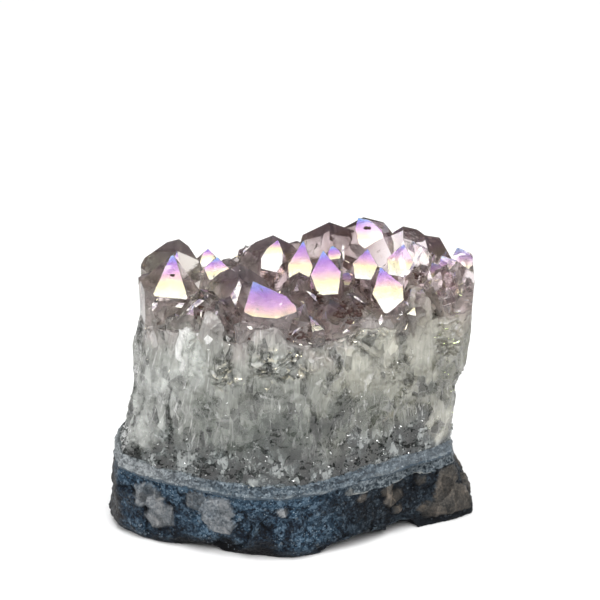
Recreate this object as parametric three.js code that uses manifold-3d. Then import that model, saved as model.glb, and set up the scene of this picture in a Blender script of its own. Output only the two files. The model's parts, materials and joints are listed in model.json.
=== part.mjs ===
// Aura amethyst cluster: a block broken out of a geode wall.
// From the bottom up it has dark basalt, a thin chalcedony band and a crust of intergrown quartz
// crystals that end in amethyst points. All lengths are millimetres, +Z is up, the front faces -Y,
// and the origin is under the middle of the block, on the surface that it rests on.
import * as THREE from 'three';
import { ConvexGeometry } from 'three/addons/geometries/ConvexGeometry.js';
import { mergeVertices } from 'three/addons/utils/BufferGeometryUtils.js';
import Module from 'manifold-3d';

const wasm = await Module();
wasm.setup();

// ---------------------------------------------------------------- driving dimensions
const basaltHeight = 10.6; // top of the basalt under the middle of the block
const bandThickness = 2.6;
const crustHeight = 36.5; // where the crystals' roots have grown together
const seam = 0.3; // gap between neighbouring layers
const wallRadius = 420; // curvature of the geode wall
const geodeCentre = new THREE.Vector3(0, 2, 135); // the crystals point towards it
const rootDepth = 17; // how far below its tip a crystal is still drawn
const taper = 0.06; // how fast the prism faces close in towards the root

// Plan outline of the broken block, counter-clockwise from the front corner.
const outline = [
  [-3, -18.6], [5, -16.4], [13, -12], [22, -7], [30, -2.4], [29.4, 5.5], [26, 13], [17, 18.5],
  [5, 20.4], [-9, 20], [-20, 17], [-28, 10], [-31, 1], [-29.6, -8.2], [-22, -13.2], [-12, -16.8],
].map(([x, y]) => new THREE.Vector3(x, y, 0));
const reach = { left: 31, right: 30, front: 18.6, back: 20.4 };

// How far the block reaches on each side at each height.
const levels = [
  { z: 0, left: 29.4, right: 30.4, front: 17.6, back: 18 },
  { z: 1.6, left: 31, right: 30.8, front: 18.4, back: 19.4 },
  { z: 5, left: 30.4, right: 28.9, front: 18.6, back: 20 },
  { z: 9, left: 30.2, right: 27.2, front: 18.6, back: 19.6 },
  { z: 13.5, left: 29.4, right: 26.3, front: 18.5, back: 19 },
  { z: 17, left: 27.2, right: 26.4, front: 18.3, back: 18.4 },
  { z: 20.5, left: 26.2, right: 26.8, front: 18, back: 18 },
  { z: 24, left: 25.4, right: 26.8, front: 17.8, back: 17.6 },
  { z: 27.5, left: 26.1, right: 28, front: 17.6, back: 17.4 },
  { z: 32, left: 25.7, right: 28.7, front: 17, back: 17.2 },
  { z: 37, left: 24.7, right: 28.6, front: 16.2, back: 17.6 },
  { z: 42, left: 25, right: 28.8, front: 15.8, back: 18 },
  { z: 52, left: 25.4, right: 28, front: 15.4, back: 18 },
];
const stepsPerSpan = 2; // vertices between two outline points
const roughness = 0.5; // how far a broken surface wanders
const bowl = { rim: 60, top: 90, rings: 7, sectors: 28 }; // the curved cutters between the layers

// Chips knocked out of the lower edge: centre and half sizes.
const chips = [
  { at: [11.5, -14, -1.6], half: [9, 7, 3.9] },
  { at: [18, -9.4, -1.2], half: [3.6, 5, 3.4] },
  { at: [-16, -17, -1], half: [6, 4.4, 2.4] },
  { at: [-31, 9, -0.5], half: [5, 8, 3] },
  { at: [8, 22, -1], half: [10, 4.6, 4] },
  { at: [29.5, 11, 0], half: [4, 7, 3.4] },
];

// The large crystals: tip, half width, and the turn in degrees of the large end face that looks
// forward. minor is how far the three small end faces lie beyond the three large ones, narrow
// squeezes the crystal across that face, and sway leans it to +X and +Y.
const largeCrystals = [
  { tip: [-18.5, 3, 47.6], radius: 5.8, turn: 62, minor: 0.8 },
  { tip: [-19.1, -3.6, 47.4], radius: 5.6, turn: 8, minor: 0.2, sway: [-0.06, 0] },
  { tip: [-14, 6, 44.8], radius: 2.4, turn: 14, minor: 0.4 },
  { tip: [-12.4, 3, 44.5], radius: 3, turn: 12, minor: 1.6 },
  { tip: [-3.3, 7, 46.8], radius: 6.8, turn: 56, minor: 1.4 },
  { tip: [-2.4, 3, 47.5], radius: 4.2, turn: -14, minor: 0.9, narrow: 0.68, sway: [0.14, 0] },
  { tip: [1.7, 2.6, 47.5], radius: 6.4, turn: -8, minor: 2.4, narrow: 0.44, sway: [0.06, 0] },
  { tip: [4.8, -3, 47.9], radius: 5.8, turn: 6, minor: 2.4, narrow: 0.58 },
  { tip: [6.3, 0.2, 47.5], radius: 1.8, turn: 16, minor: 0.4 },
  { tip: [6, 11.4, 47.5], radius: 6.6, turn: 58, minor: 2.4 },
  { tip: [11.8, 14.4, 47.3], radius: 6.4, turn: 58, minor: 1.6 },
  { tip: [10.8, 11, 48.4], radius: 3.9, turn: 16, minor: 0.6, sway: [-0.36, 0] },
  { tip: [12.1, 2, 46.3], radius: 4, turn: -14, minor: 1.6, narrow: 0.72, sway: [0.14, 0] },
  { tip: [18, 3, 46.8], radius: 4.3, turn: -16, minor: 1.4, narrow: 0.7, sway: [0.26, 0] },
  { tip: [13.9, -3.8, 45.4], radius: 6, turn: 8, minor: 2.6, narrow: 0.58, sway: [-0.1, 0] },
  { tip: [20.6, -0.5, 44.6], radius: 3.4, turn: 46, minor: 1 },
  { tip: [18.4, 12.4, 46.4], radius: 4.4, turn: 50, minor: 0.9 },
  { tip: [21.7, 9.8, 45.8], radius: 5.2, turn: 64, minor: 2 },
  { tip: [19.6, 6, 46.2], radius: 3.4, turn: 6, minor: 0.8 },
  { tip: [26.4, 0, 47.3], radius: 3.6, turn: 12, minor: 0.6 },
  { tip: [28.2, 2.4, 45], radius: 3.4, turn: 48, minor: 0.8 },
  { tip: [25.2, -3, 46.6], radius: 2.6, turn: 4, minor: 0.5 },
  { tip: [-6.2, -11, 45.8], radius: 8.4, turn: 18, minor: 2.2, narrow: 0.76, sway: [-0.4, 0] },
  { tip: [-8.3, -3, 45.6], radius: 6.6, turn: 52, minor: 1.6 },
  { tip: [-14.6, -8, 42.9], radius: 4.6, turn: 44, minor: 1 },
  { tip: [9.2, -8, 42.8], radius: 5.6, turn: 58, minor: 2 },
  { tip: [1, -4, 44.6], radius: 3.4, turn: 50, minor: 0.8 },
  { tip: [5.8, -10, 42.4], radius: 3.6, turn: 40, minor: 0.8 },
  { tip: [22.2, -2.4, 45.6], radius: 2.6, turn: 34, minor: 0.5 },
  { tip: [24, 0.6, 45.6], radius: 2.8, turn: 28, minor: 0.5 },
  { tip: [18.6, -6, 42.6], radius: 3.6, turn: 40, minor: 0.7 },
  { tip: [-22.8, -1, 43.4], radius: 3.4, turn: 36, minor: 0.8 },
  { tip: [-6.2, 14.2, 42.6], radius: 5.2, turn: 20, minor: 1 },
  { tip: [-14.6, 12, 41], radius: 5, turn: -30, minor: 0.8 },
  { tip: [0.6, 16.2, 42.4], radius: 4, turn: 44, minor: 0.7 },
  { tip: [13.6, 17, 43.6], radius: 4.2, turn: 10, minor: 0.9 },
];

// Smaller crystals fill the gaps between the large ones on a loose triangular grid.
const filler = {
  pitch: 4.2,
  rows: 5, // rows and columns on each side of the middle
  columns: 8,
  scatter: 1.1,
  tip: [38.2, 41.8], // lowest and highest
  radius: [1.5, 2.6],
  minor: [0.2, 1],
  turn: 60, // largest turn and lean either way
  sway: 0.16,
  clear: 3.2, // distance kept from a large crystal's tip
};

// ---------------------------------------------------------------- helpers
const rhombFace = THREE.MathUtils.degToRad(51.8); // between a quartz end face's normal and the c axis

// Repeatable random numbers from 0 to 1 (mulberry32).
function randomSource(seed) {
  let state = seed;
  return () => {
    state = (state + 0x6d2b79f5) | 0;
    let t = Math.imul(state ^ (state >>> 15), 1 | state);
    t = (t + Math.imul(t ^ (t >>> 7), 61 | t)) ^ t;
    return ((t ^ (t >>> 14)) >>> 0) / 4294967296;
  };
}

// A closed three.js geometry as a solid that can be joined and cut.
function solidOf(geometry) {
  const bare = geometry.clone();
  bare.deleteAttribute('normal');
  bare.deleteAttribute('uv');
  const merged = mergeVertices(bare, 1e-4);
  return new wasm.Manifold(new wasm.Mesh({
    numProp: 3,
    vertProperties: new Float32Array(merged.attributes.position.array),
    triVerts: new Uint32Array(merged.index.array),
  }));
}

// A solid as a flat-shaded three.js geometry.
function geometryOf(solid) {
  const mesh = solid.getMesh();
  const geometry = new THREE.BufferGeometry();
  geometry.setAttribute('position', new THREE.BufferAttribute(mesh.vertProperties, 3));
  geometry.setIndex(new THREE.BufferAttribute(mesh.triVerts, 1));
  const faceted = geometry.toNonIndexed();
  faceted.computeVertexNormals();
  return faceted;
}

const joined = (solids) => solids.reduce((whole, solid) => whole.add(solid));

// The largest closed skin of a solid: loose splinters go and sealed pockets fill in.
const mainBody = (solid) => solid.decompose()
  .reduce((largest, body) => (body.volume() > largest.volume() ? body : largest));

// ---------------------------------------------------------------- the broken block
// A capped cylinder whose rings follow the plan outline, stretched to each level's reach.
function blockGeometry() {
  const capCentre = 0.5; // vertices of the unit cylinder closer in than this are its cap centres
  const curve = new THREE.CatmullRomCurve3(outline, true, 'centripetal');
  const around = outline.length * stepsPerSpan;
  const geometry = new THREE.CylinderGeometry(1, 1, 1, around, levels.length - 1);
  const random = randomSource(7);
  const wander = levels.map(() => Array.from({ length: around }, () => random() * 2 - 1));
  const position = geometry.attributes.position;
  for (let i = 0; i < position.count; i++) {
    const ring = Math.round((position.getY(i) + 0.5) * (levels.length - 1));
    const level = levels[ring];
    const rim = Math.hypot(position.getX(i), position.getZ(i)) > capCentre;
    const turn = Math.atan2(position.getX(i), position.getZ(i)) / (2 * Math.PI);
    const step = rim ? Math.round((turn + 1) * around) % around : 0;
    const point = curve.getPoint(step / around);
    const push = 1 + (ring > 0 ? roughness * wander[ring][step] : 0) / point.length();
    const side = point.x < 0 ? level.left / reach.left : level.right / reach.right;
    const depth = point.y < 0 ? level.front / reach.front : level.back / reach.back;
    const share = rim ? push : 0;
    position.setXYZ(i, point.x * side * share, point.y * depth * share, level.z);
  }
  return geometry;
}

// Everything above a shallow bowl whose lowest point is at height z.
function aboveBowl(z) {
  const profile = [];
  for (let i = 0; i <= bowl.rings; i++) {
    const r = (bowl.rim * i) / bowl.rings;
    profile.push(new THREE.Vector2(r, z + wallRadius - Math.sqrt(wallRadius ** 2 - r ** 2)));
  }
  profile.push(new THREE.Vector2(bowl.rim, bowl.top), new THREE.Vector2(0, bowl.top));
  return solidOf(new THREE.LatheGeometry(profile, bowl.sectors).rotateX(Math.PI / 2));
}

function chipSolid({ at, half }) {
  return solidOf(new THREE.IcosahedronGeometry(1, 1).scale(...half).translate(...at));
}

// ---------------------------------------------------------------- crystals
// The corners of the convex body that lies behind every plane.
function cornersBehind(planes) {
  const corners = [];
  const inside = (p) => planes.every((plane) => plane.distanceToPoint(p) < 1e-6);
  for (let a = 0; a < planes.length; a++) {
    for (let b = a + 1; b < planes.length; b++) {
      for (let c = b + 1; c < planes.length; c++) {
        const [p, q, r] = [planes[a], planes[b], planes[c]];
        const cross = new THREE.Vector3().crossVectors(q.normal, r.normal);
        const volume = p.normal.dot(cross);
        if (Math.abs(volume) < 1e-6) continue;
        const corner = cross.multiplyScalar(-p.constant)
          .addScaledVector(new THREE.Vector3().crossVectors(r.normal, p.normal), -q.constant)
          .addScaledVector(new THREE.Vector3().crossVectors(p.normal, q.normal), -r.constant)
          .divideScalar(volume);
        if (inside(corner) && !corners.some((k) => k.distanceTo(corner) < 1e-3)) corners.push(corner);
      }
    }
  }
  return corners;
}

// One quartz crystal with its tip at the origin: six prism faces that taper to the root and six end
// faces, three large and three small.
function crystalGeometry({ radius, minor, narrow = 1 }) {
  const planes = [];
  for (let side = 0; side < 6; side++) {
    const turn = (side * Math.PI) / 3;
    const out = new THREE.Vector3(Math.cos(turn), Math.sin(turn), 0);
    const wall = new THREE.Vector3(out.x, out.y, -taper).normalize();
    const end = out.clone().multiplyScalar(Math.sin(rhombFace)).setZ(Math.cos(rhombFace));
    planes.push(new THREE.Plane(wall, -radius * Math.cos(Math.PI / 6)));
    planes.push(new THREE.Plane(end, side % 2 ? -minor : 0));
  }
  planes.push(new THREE.Plane(new THREE.Vector3(0, 0, -1), -rootDepth));
  return new ConvexGeometry(cornersBehind(planes)).scale(1, narrow, 1);
}

// The crystal in its place, pointing at the geode's centre, with a large face turned forward.
function crystalSolid({ tip, turn, sway = [0, 0], ...shape }) {
  const at = new THREE.Vector3(...tip);
  const axis = geodeCentre.clone().sub(at).normalize();
  axis.x += sway[0];
  axis.y += sway[1];
  const upright = new THREE.Quaternion().setFromUnitVectors(new THREE.Vector3(0, 0, 1), axis.normalize());
  const spin = new THREE.Quaternion().setFromAxisAngle(
    new THREE.Vector3(0, 0, 1), THREE.MathUtils.degToRad(turn - 90));
  const placed = crystalGeometry(shape).applyQuaternion(upright.multiply(spin));
  return solidOf(placed.translate(...tip));
}

function fillerCrystals() {
  const random = randomSource(23);
  const between = ([low, high]) => low + (high - low) * random();
  const either = (size) => between([-size, size]);
  const found = [];
  const row = filler.pitch * Math.sqrt(0.75);
  for (let j = -filler.rows; j <= filler.rows; j++) {
    for (let i = -filler.columns; i <= filler.columns; i++) {
      const x = (i + (j % 2 ? 0.5 : 0)) * filler.pitch + either(filler.scatter);
      const y = j * row + either(filler.scatter);
      const crystal = {
        tip: [x, y, between(filler.tip)],
        radius: between(filler.radius),
        turn: either(filler.turn),
        minor: between(filler.minor),
        sway: [either(filler.sway), either(filler.sway)],
      };
      const crowded = largeCrystals.some(({ tip }) => Math.hypot(tip[0] - x, tip[1] - y) < filler.clear);
      if (!crowded) found.push(crystal);
    }
  }
  return found;
}

// ---------------------------------------------------------------- the layers
const block = solidOf(blockGeometry());
const broken = chips.map(chipSolid).reduce((whole, chip) => whole.subtract(chip), block);

const basalt = broken.subtract(aboveBowl(basaltHeight));
const band = block.intersect(aboveBowl(basaltHeight + seam))
  .subtract(aboveBowl(basaltHeight + bandThickness));
const quartz = block.intersect(aboveBowl(basaltHeight + bandThickness + seam));
const crystals = joined([...largeCrystals, ...fillerCrystals()].map(crystalSolid));
const crust = mainBody(joined([quartz.subtract(aboveBowl(crustHeight)), quartz.intersect(crystals)]));

const finishes = {
  basalt: new THREE.MeshStandardMaterial({ color: 0x2a313a, roughness: 0.8, metalness: 0 }),
  chalcedony: new THREE.MeshStandardMaterial({ color: 0x66727a, roughness: 0.45, metalness: 0 }),
  amethyst: new THREE.MeshStandardMaterial({ color: 0x9a8a90, roughness: 0.08, metalness: 0 }),
};

const cluster = new THREE.Group();
const layers = [
  ['basalt_matrix', basalt, finishes.basalt],
  ['chalcedony_band', band, finishes.chalcedony],
  ['amethyst_crystals', crust, finishes.amethyst],
];
for (const [name, solid, finish] of layers) {
  const mesh = new THREE.Mesh(geometryOf(solid), finish);
  mesh.name = name;
  cluster.add(mesh);
}

// The origin is under the middle of the whole block.
const box = new THREE.Box3().setFromObject(cluster);
const middle = box.getCenter(new THREE.Vector3());
cluster.children.forEach((mesh) => mesh.position.set(-middle.x, -middle.y, -box.min.z));

export default cluster;
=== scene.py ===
import json
import math
import random

import bmesh
import bpy
from mathutils import Matrix, Vector, noise
from mathutils.bvhtree import BVHTree

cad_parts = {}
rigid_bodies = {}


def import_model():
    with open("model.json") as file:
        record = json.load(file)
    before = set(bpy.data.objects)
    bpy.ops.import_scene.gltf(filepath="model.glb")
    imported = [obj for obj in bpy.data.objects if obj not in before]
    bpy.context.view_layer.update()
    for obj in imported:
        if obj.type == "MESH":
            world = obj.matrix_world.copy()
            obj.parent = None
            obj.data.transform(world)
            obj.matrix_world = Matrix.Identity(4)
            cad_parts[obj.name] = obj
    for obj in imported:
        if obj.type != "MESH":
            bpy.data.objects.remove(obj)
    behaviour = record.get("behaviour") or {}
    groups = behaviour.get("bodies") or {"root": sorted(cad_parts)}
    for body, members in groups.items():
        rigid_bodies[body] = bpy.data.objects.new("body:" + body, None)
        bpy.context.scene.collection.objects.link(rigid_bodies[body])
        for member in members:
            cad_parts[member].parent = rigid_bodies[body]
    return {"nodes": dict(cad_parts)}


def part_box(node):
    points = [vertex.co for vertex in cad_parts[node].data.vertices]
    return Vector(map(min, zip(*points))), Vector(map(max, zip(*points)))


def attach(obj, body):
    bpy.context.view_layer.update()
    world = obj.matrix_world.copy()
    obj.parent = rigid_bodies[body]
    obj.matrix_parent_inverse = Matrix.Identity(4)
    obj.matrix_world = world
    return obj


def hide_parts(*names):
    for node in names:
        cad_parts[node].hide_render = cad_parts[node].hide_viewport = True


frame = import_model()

scene = bpy.context.scene
noise.seed_set(26)       # without a seed noise_vector starts from the clock
mm = 0.001
quartzIor = 1.544
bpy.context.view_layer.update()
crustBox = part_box("amethyst_crystals")
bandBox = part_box("chalcedony_band")


def smoothStep(low, high, value):
    t = min(1.0, max(0.0, (value - low) / (high - low)))
    return t * t * (3 - 2 * t)


def copyOfNode(name):
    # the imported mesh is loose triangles, so its points are merged first
    bm = bmesh.new()
    bm.from_mesh(frame["nodes"][name].data)
    bmesh.ops.remove_doubles(bm, verts=bm.verts, dist=0.002 * mm)
    return bm


def plainObject(name, bm):
    mesh = bpy.data.meshes.new(name)
    bm.to_mesh(mesh)
    bm.free()
    piece = bpy.data.objects.new(name, mesh)
    scene.collection.objects.link(piece)
    return piece


def addPiece(name, bm, material, smooth=False):
    piece = plainObject(name, bm)
    if material:
        piece.data.materials.append(material)
    piece.data.shade_smooth() if smooth else piece.data.shade_flat()
    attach(piece, "root")
    return piece


def bakeModifiers(piece):
    # what the modifiers make becomes the piece's own mesh
    bpy.context.view_layer.update()
    graph = bpy.context.evaluated_depsgraph_get()
    made = bpy.data.meshes.new_from_object(piece.evaluated_get(graph), depsgraph=graph)
    piece.modifiers.clear()
    old = piece.data
    piece.data = made
    bpy.data.meshes.remove(old)


def dropObject(piece):
    mesh = piece.data
    bpy.data.objects.remove(piece)
    bpy.data.meshes.remove(mesh)


def voxelSkin(piece, size):
    remesh = piece.modifiers.new("voxelSkin", "REMESH")
    remesh.mode = "VOXEL"
    remesh.voxel_size = size
    bakeModifiers(piece)


def combine(piece, other, operation):
    # joins, cuts or keeps the shared part; other is an object or a collection
    step = piece.modifiers.new("combine", "BOOLEAN")
    step.operation = operation
    step.solver = "MANIFOLD"
    if isinstance(other, bpy.types.Collection):
        step.operand_type = "COLLECTION"
        step.collection = other
    else:
        step.object = other
    bakeModifiers(piece)


def dress(piece, material, smooth):
    piece.data.materials.clear()
    piece.data.materials.append(material)
    piece.data.shade_smooth() if smooth else piece.data.shade_flat()


def sculpt(piece, push):
    # push(place, normal) gives the move of one vertex, all in millimetres
    bm = bmesh.new()
    bm.from_mesh(piece.data)
    bm.normal_update()
    moves = [push(v.co / mm, v.normal) for v in bm.verts]
    for vert, move in zip(bm.verts, moves):
        vert.co += move * mm
    bm.to_mesh(piece.data)
    bm.free()


def paintPoints(piece, name, value):
    # one number for each vertex, read by the material
    store = piece.data.attributes.new(name, "FLOAT", "POINT")
    store.data.foreach_set("value", [value(v.co / mm) for v in piece.data.vertices])


def paintEdges(piece, step):
    # "edge" is 0.5 on flat ground, higher on ridges and lower in hollows
    # a vertex that stands out by half the step, in mm, has the full value
    bm = bmesh.new()
    bm.from_mesh(piece.data)
    bm.normal_update()
    around = [[e.other_vert(v).index for e in v.link_edges] for v in bm.verts]
    values = []
    for v in bm.verts:
        mean = sum((e.other_vert(v).co for e in v.link_edges), Vector()) / len(v.link_edges)
        values.append((v.co - mean).dot(v.normal) / (step * mm))
    bm.free()
    for _ in range(2):
        values = [(value + sum(values[k] for k in near)) / (1 + len(near))
                  for value, near in zip(values, around)]
    store = piece.data.attributes.new("edge", "FLOAT", "POINT")
    store.data.foreach_set("value", [min(1, max(0, 0.5 + value)) for value in values])


def cellTilt(place, size, tall=1.0, salt=0.0):
    # tilted flat cells, as a brittle surface breaks: a height from about -1 to 1,
    # and the groove between cells
    spot = Vector((place.x / size, place.y / size, place.z / (size * tall))) + Vector((salt, salt, salt))
    reach, cores = noise.voronoi(spot)
    lean = noise.cell_vector(cores[0] * 7.31) * 2 - Vector((1, 1, 1))
    step = noise.cell(cores[0] * 5.17) * 2 - 1
    groove = 1 - min(1, (reach[1] - reach[0]) / 0.12)
    return step * 0.55 + (spot - cores[0]).dot(lean) * 0.9, groove


def splitLong(bm, longest):
    # splits the upright faces' edges until none is longer than longest(place), in mm
    def tooLong(edge):
        if all(abs(f.normal.z) > 0.85 for f in edge.link_faces):
            return False
        return edge.calc_length() > longest((edge.verts[0].co + edge.verts[1].co) / (2 * mm)) * mm

    bmesh.ops.triangulate(bm, faces=bm.faces[:])
    for _ in range(8):
        bm.normal_update()
        long = [e for e in bm.edges if tooLong(e)]
        if not long:
            break
        bmesh.ops.subdivide_edges(bm, edges=long, cuts=1)
        bmesh.ops.triangulate(bm, faces=[f for f in bm.faces if len(f.verts) > 3])


def surfaceTree(piece):
    bm = bmesh.new()
    bm.from_mesh(piece.data)
    tree = BVHTree.FromBMesh(bm)
    bm.free()
    return tree


def castFrom(tree, side, along, height):
    # where a level line from one side first meets the surface; along and height in mm
    far = 60
    start = {"front": (along, -far, height), "back": (along, far, height),
             "left": (-far, along, height), "right": (far, along, height)}[side]
    heading = {"front": (0, 1, 0), "back": (0, -1, 0), "left": (1, 0, 0), "right": (-1, 0, 0)}[side]
    place, normal, _, _ = tree.ray_cast(Vector(start) * mm, Vector(heading))
    return place, normal


def crystalShape(name, radius, length, point, rng):
    # a broken grain with an uneven pyramid at each end
    bm = bmesh.new()
    bmesh.ops.create_cone(bm, cap_ends=True, segments=5, radius1=radius * 0.7, radius2=radius, depth=length)
    for vert in bm.verts:
        vert.co *= rng.uniform(0.55, 1.3)
    ends = [f for f in bm.faces if abs(f.normal.z) > 0.9]
    tips = bmesh.ops.poke(bm, faces=ends)["verts"]
    for vert in tips:
        vert.co.z += math.copysign(point, vert.co.z)
    return plainObject(name, bm)


def plateShape(name, across, thickness, rng):
    # a thin plate with an uneven outline
    bm = bmesh.new()
    bmesh.ops.create_circle(bm, cap_ends=True, segments=7, radius=across / 2)
    for vert in bm.verts:
        vert.co *= rng.uniform(0.6, 1.2)
    bmesh.ops.solidify(bm, geom=bm.faces[:], thickness=thickness)
    return plainObject(name, bm)


def scatter(piece, shapes, density, sizes, turns, seed):
    # spreads copies of a few small shapes over the piece's surface and keeps only the copies
    holder = bpy.data.collections.new("shapes")
    for shape in shapes:
        holder.objects.link(shape)
    tree = bpy.data.node_groups.new("scatter", "GeometryNodeTree")
    tree.interface.new_socket("Geometry", in_out="INPUT", socket_type="NodeSocketGeometry")
    tree.interface.new_socket("Geometry", in_out="OUTPUT", socket_type="NodeSocketGeometry")
    add, link = tree.nodes.new, tree.links.new
    start, end = add("NodeGroupInput"), add("NodeGroupOutput")
    spots = add("GeometryNodeDistributePointsOnFaces")
    spots.inputs["Density"].default_value = density / mm ** 2
    spots.inputs["Seed"].default_value = seed
    given = add("GeometryNodeCollectionInfo")
    given.inputs["Collection"].default_value = holder
    given.inputs["Separate Children"].default_value = True
    given.inputs["Reset Children"].default_value = True
    copies = add("GeometryNodeInstanceOnPoints")
    copies.inputs["Pick Instance"].default_value = True
    turn, size, tone = (add("FunctionNodeRandomValue") for _ in range(3))
    turn.data_type = "FLOAT_VECTOR"
    turn.inputs[0].default_value, turn.inputs[1].default_value = turns
    size.inputs[2].default_value, size.inputs[3].default_value = sizes
    for number, node in enumerate((turn, size, tone)):
        node.inputs["Seed"].default_value = seed + number
    keep = add("GeometryNodeStoreNamedAttribute")
    keep.domain = "INSTANCE"
    keep.inputs["Name"].default_value = "tone"
    real = add("GeometryNodeRealizeInstances")
    link(start.outputs[0], spots.inputs["Mesh"])
    link(spots.outputs["Points"], copies.inputs["Points"])
    link(given.outputs[0], copies.inputs["Instance"])
    link(turn.outputs[0], copies.inputs["Rotation"])
    link(size.outputs[1], copies.inputs["Scale"])
    link(copies.outputs[0], keep.inputs["Geometry"])
    link(tone.outputs[1], keep.inputs["Value"])
    link(keep.outputs[0], real.inputs[0])
    link(real.outputs[0], end.inputs[0])
    piece.modifiers.new("scatter", "NODES").node_group = tree
    bakeModifiers(piece)
    for shape in shapes:
        dropObject(shape)
    bpy.data.collections.remove(holder)
    bpy.data.node_groups.remove(tree)


def inRadians(turns):
    return [[math.radians(angle) for angle in limit] for limit in turns]


def bedFrom(source, name, keep, sink=0.0):
    # a copy of the faces of one piece that keep(place, normal) chooses, sunk below the surface
    bm = bmesh.new()
    bm.from_mesh(source.data)
    bm.normal_update()
    spare = [f for f in bm.faces if not keep(f.calc_center_median() / mm, f.normal)]
    bmesh.ops.delete(bm, geom=spare, context="FACES")
    for vert in bm.verts:
        vert.co -= vert.normal * sink * mm
    return addPiece(name, bm, None)


def bowl(place, radius):
    # how much higher the layers lie here than in the middle, in mm
    return (place.x ** 2 + place.y ** 2) / (2 * radius)


def frontEdge(x):
    # where the front of the block is, in mm: two broken planes that meet near the middle
    return -19.5 + (0.33 * (-3 - x) if x < -3 else 0.47 * (x + 3))


def waver(x, y, z, salt):
    # noise from -1 to 1, with its own pattern for each salt
    return noise.noise(Vector((x, y, z)) + Vector(salt))


class Nodes:
    # one node tree and short ways to add nodes to it
    def __init__(self, tree, place):
        self.tree = tree
        self.place = place

    def add(self, kind, settings=None, **inputs):
        node = self.tree.nodes.new(kind)
        for key, value in (settings or {}).items():
            setattr(node, key, value)
        for key, value in inputs.items():
            spot = int(key[1:]) if key[1:].isdigit() else key.replace("_", " ")
            self.feed(node.inputs[spot], value)
        return node

    def feed(self, socket, value):
        if isinstance(value, bpy.types.NodeSocket):
            self.tree.links.new(value, socket)
        else:
            socket.default_value = value

    def use(self, group, **inputs):
        inputs.setdefault("Place", self.place)
        return self.add("ShaderNodeGroup", {"node_tree": bpy.data.node_groups[group]}, **inputs).outputs

    def stretch(self, scale, turn=(0, 0, 0)):
        return self.add("ShaderNodeMapping", Vector=self.place, Scale=scale, Rotation=turn).outputs[0]

    def clouds(self, scale, detail=4, roughness=0.55, warp=0.0, place=None):
        return self.add("ShaderNodeTexNoise", Vector=place or self.place, Scale=scale, Detail=detail,
                        Roughness=roughness, Distortion=warp).outputs["Fac"]

    def cells(self, scale, feature="F1", place=None):
        return self.add("ShaderNodeTexVoronoi", {"feature": feature}, Vector=place or self.place, Scale=scale)

    def ramp(self, value, *stops):
        node = self.add("ShaderNodeValToRGB", Fac=value)
        bar = node.color_ramp
        while len(bar.elements) < len(stops):
            bar.elements.new(0.5)
        for element, (at, color) in zip(bar.elements, stops):
            element.position = at
            element.color = (*color, 1) if isinstance(color, tuple) else (color, color, color, 1)
        return node.outputs["Color"]

    def math(self, operation, a, b=0.5, clamp=False):
        return self.add("ShaderNodeMath", {"operation": operation, "use_clamp": clamp}, _0=a, _1=b).outputs[0]

    def times(self, a, b):
        return self.math("MULTIPLY", a, b)

    def plus(self, a, b, clamp=False):
        return self.math("ADD", a, b, clamp)

    def larger(self, a, b):
        return self.math("MAXIMUM", a, b)

    def rest(self, share):
        # what a share leaves over
        return self.math("SUBTRACT", 1.0, share)

    def sway(self, amount, scale, detail=4, roughness=0.55):
        # clouds around zero
        return self.times(self.math("SUBTRACT", self.clouds(scale, detail, roughness), 0.5), amount)

    def tinted(self, color, tint):
        return self.mix(1.0, color, tint, "MULTIPLY")

    def mix(self, share, a, b, blend="MIX"):
        node = self.add("ShaderNodeMix", {"data_type": "RGBA", "blend_type": blend}, _0=share)
        for socket, value in ((node.inputs[6], a), (node.inputs[7], b)):
            self.feed(socket, (*value, 1) if isinstance(value, tuple) else value)
        return node.outputs[2]

    def along(self, axis):
        # the place along one axis, in mm
        return self.times(self.add("ShaderNodeSeparateXYZ", Vector=self.place).outputs[axis], 1 / mm)

    def between(self, value, low, high):
        # 0 below low, 1 above high
        return self.add("ShaderNodeMapRange", {"clamp": True}, _0=value, _1=low, _2=high).outputs[0]

    def vector(self, operation, a, b):
        return self.add("ShaderNodeVectorMath", {"operation": operation}, _0=a, _1=b).outputs

    def bend(self, place, scale, amount):
        # moves the place about, for uneven outlines
        swirl = self.add("ShaderNodeTexNoise", Vector=place, Scale=scale, Detail=2.0).outputs["Color"]
        swirl = self.vector("SUBTRACT", swirl, (0.5, 0.5, 0.5))[0]
        swirl = self.add("ShaderNodeVectorMath", {"operation": "SCALE"}, _0=swirl, Scale=amount).outputs[0]
        return self.vector("ADD", place, swirl)[0]

    def attribute(self, name):
        return self.add("ShaderNodeAttribute", {"attribute_name": name}).outputs["Fac"]

    def bump(self, height, strength, distance, under=None):
        node = self.add("ShaderNodeBump", Strength=strength, Distance=distance, Height=height)
        if under:
            self.feed(node.inputs["Normal"], under)
        return node.outputs[0]


class Shader(Nodes):
    # a material on the plain surface shader
    def __init__(self, name):
        self.material = bpy.data.materials.new(name)
        self.material.use_nodes = True
        tree = self.material.node_tree
        super().__init__(tree, tree.nodes.new("ShaderNodeTexCoord").outputs["Object"])
        self.surface = tree.nodes["Principled BSDF"]

    def set(self, **inputs):
        for key, value in inputs.items():
            self.feed(self.surface.inputs[key.replace("_", " ")], value)

    def absorb(self, color, density):
        node = self.add("ShaderNodeVolumeAbsorption", Color=(*color, 1), Density=density)
        self.tree.links.new(node.outputs[0], self.tree.nodes["Material Output"].inputs["Volume"])


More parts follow.
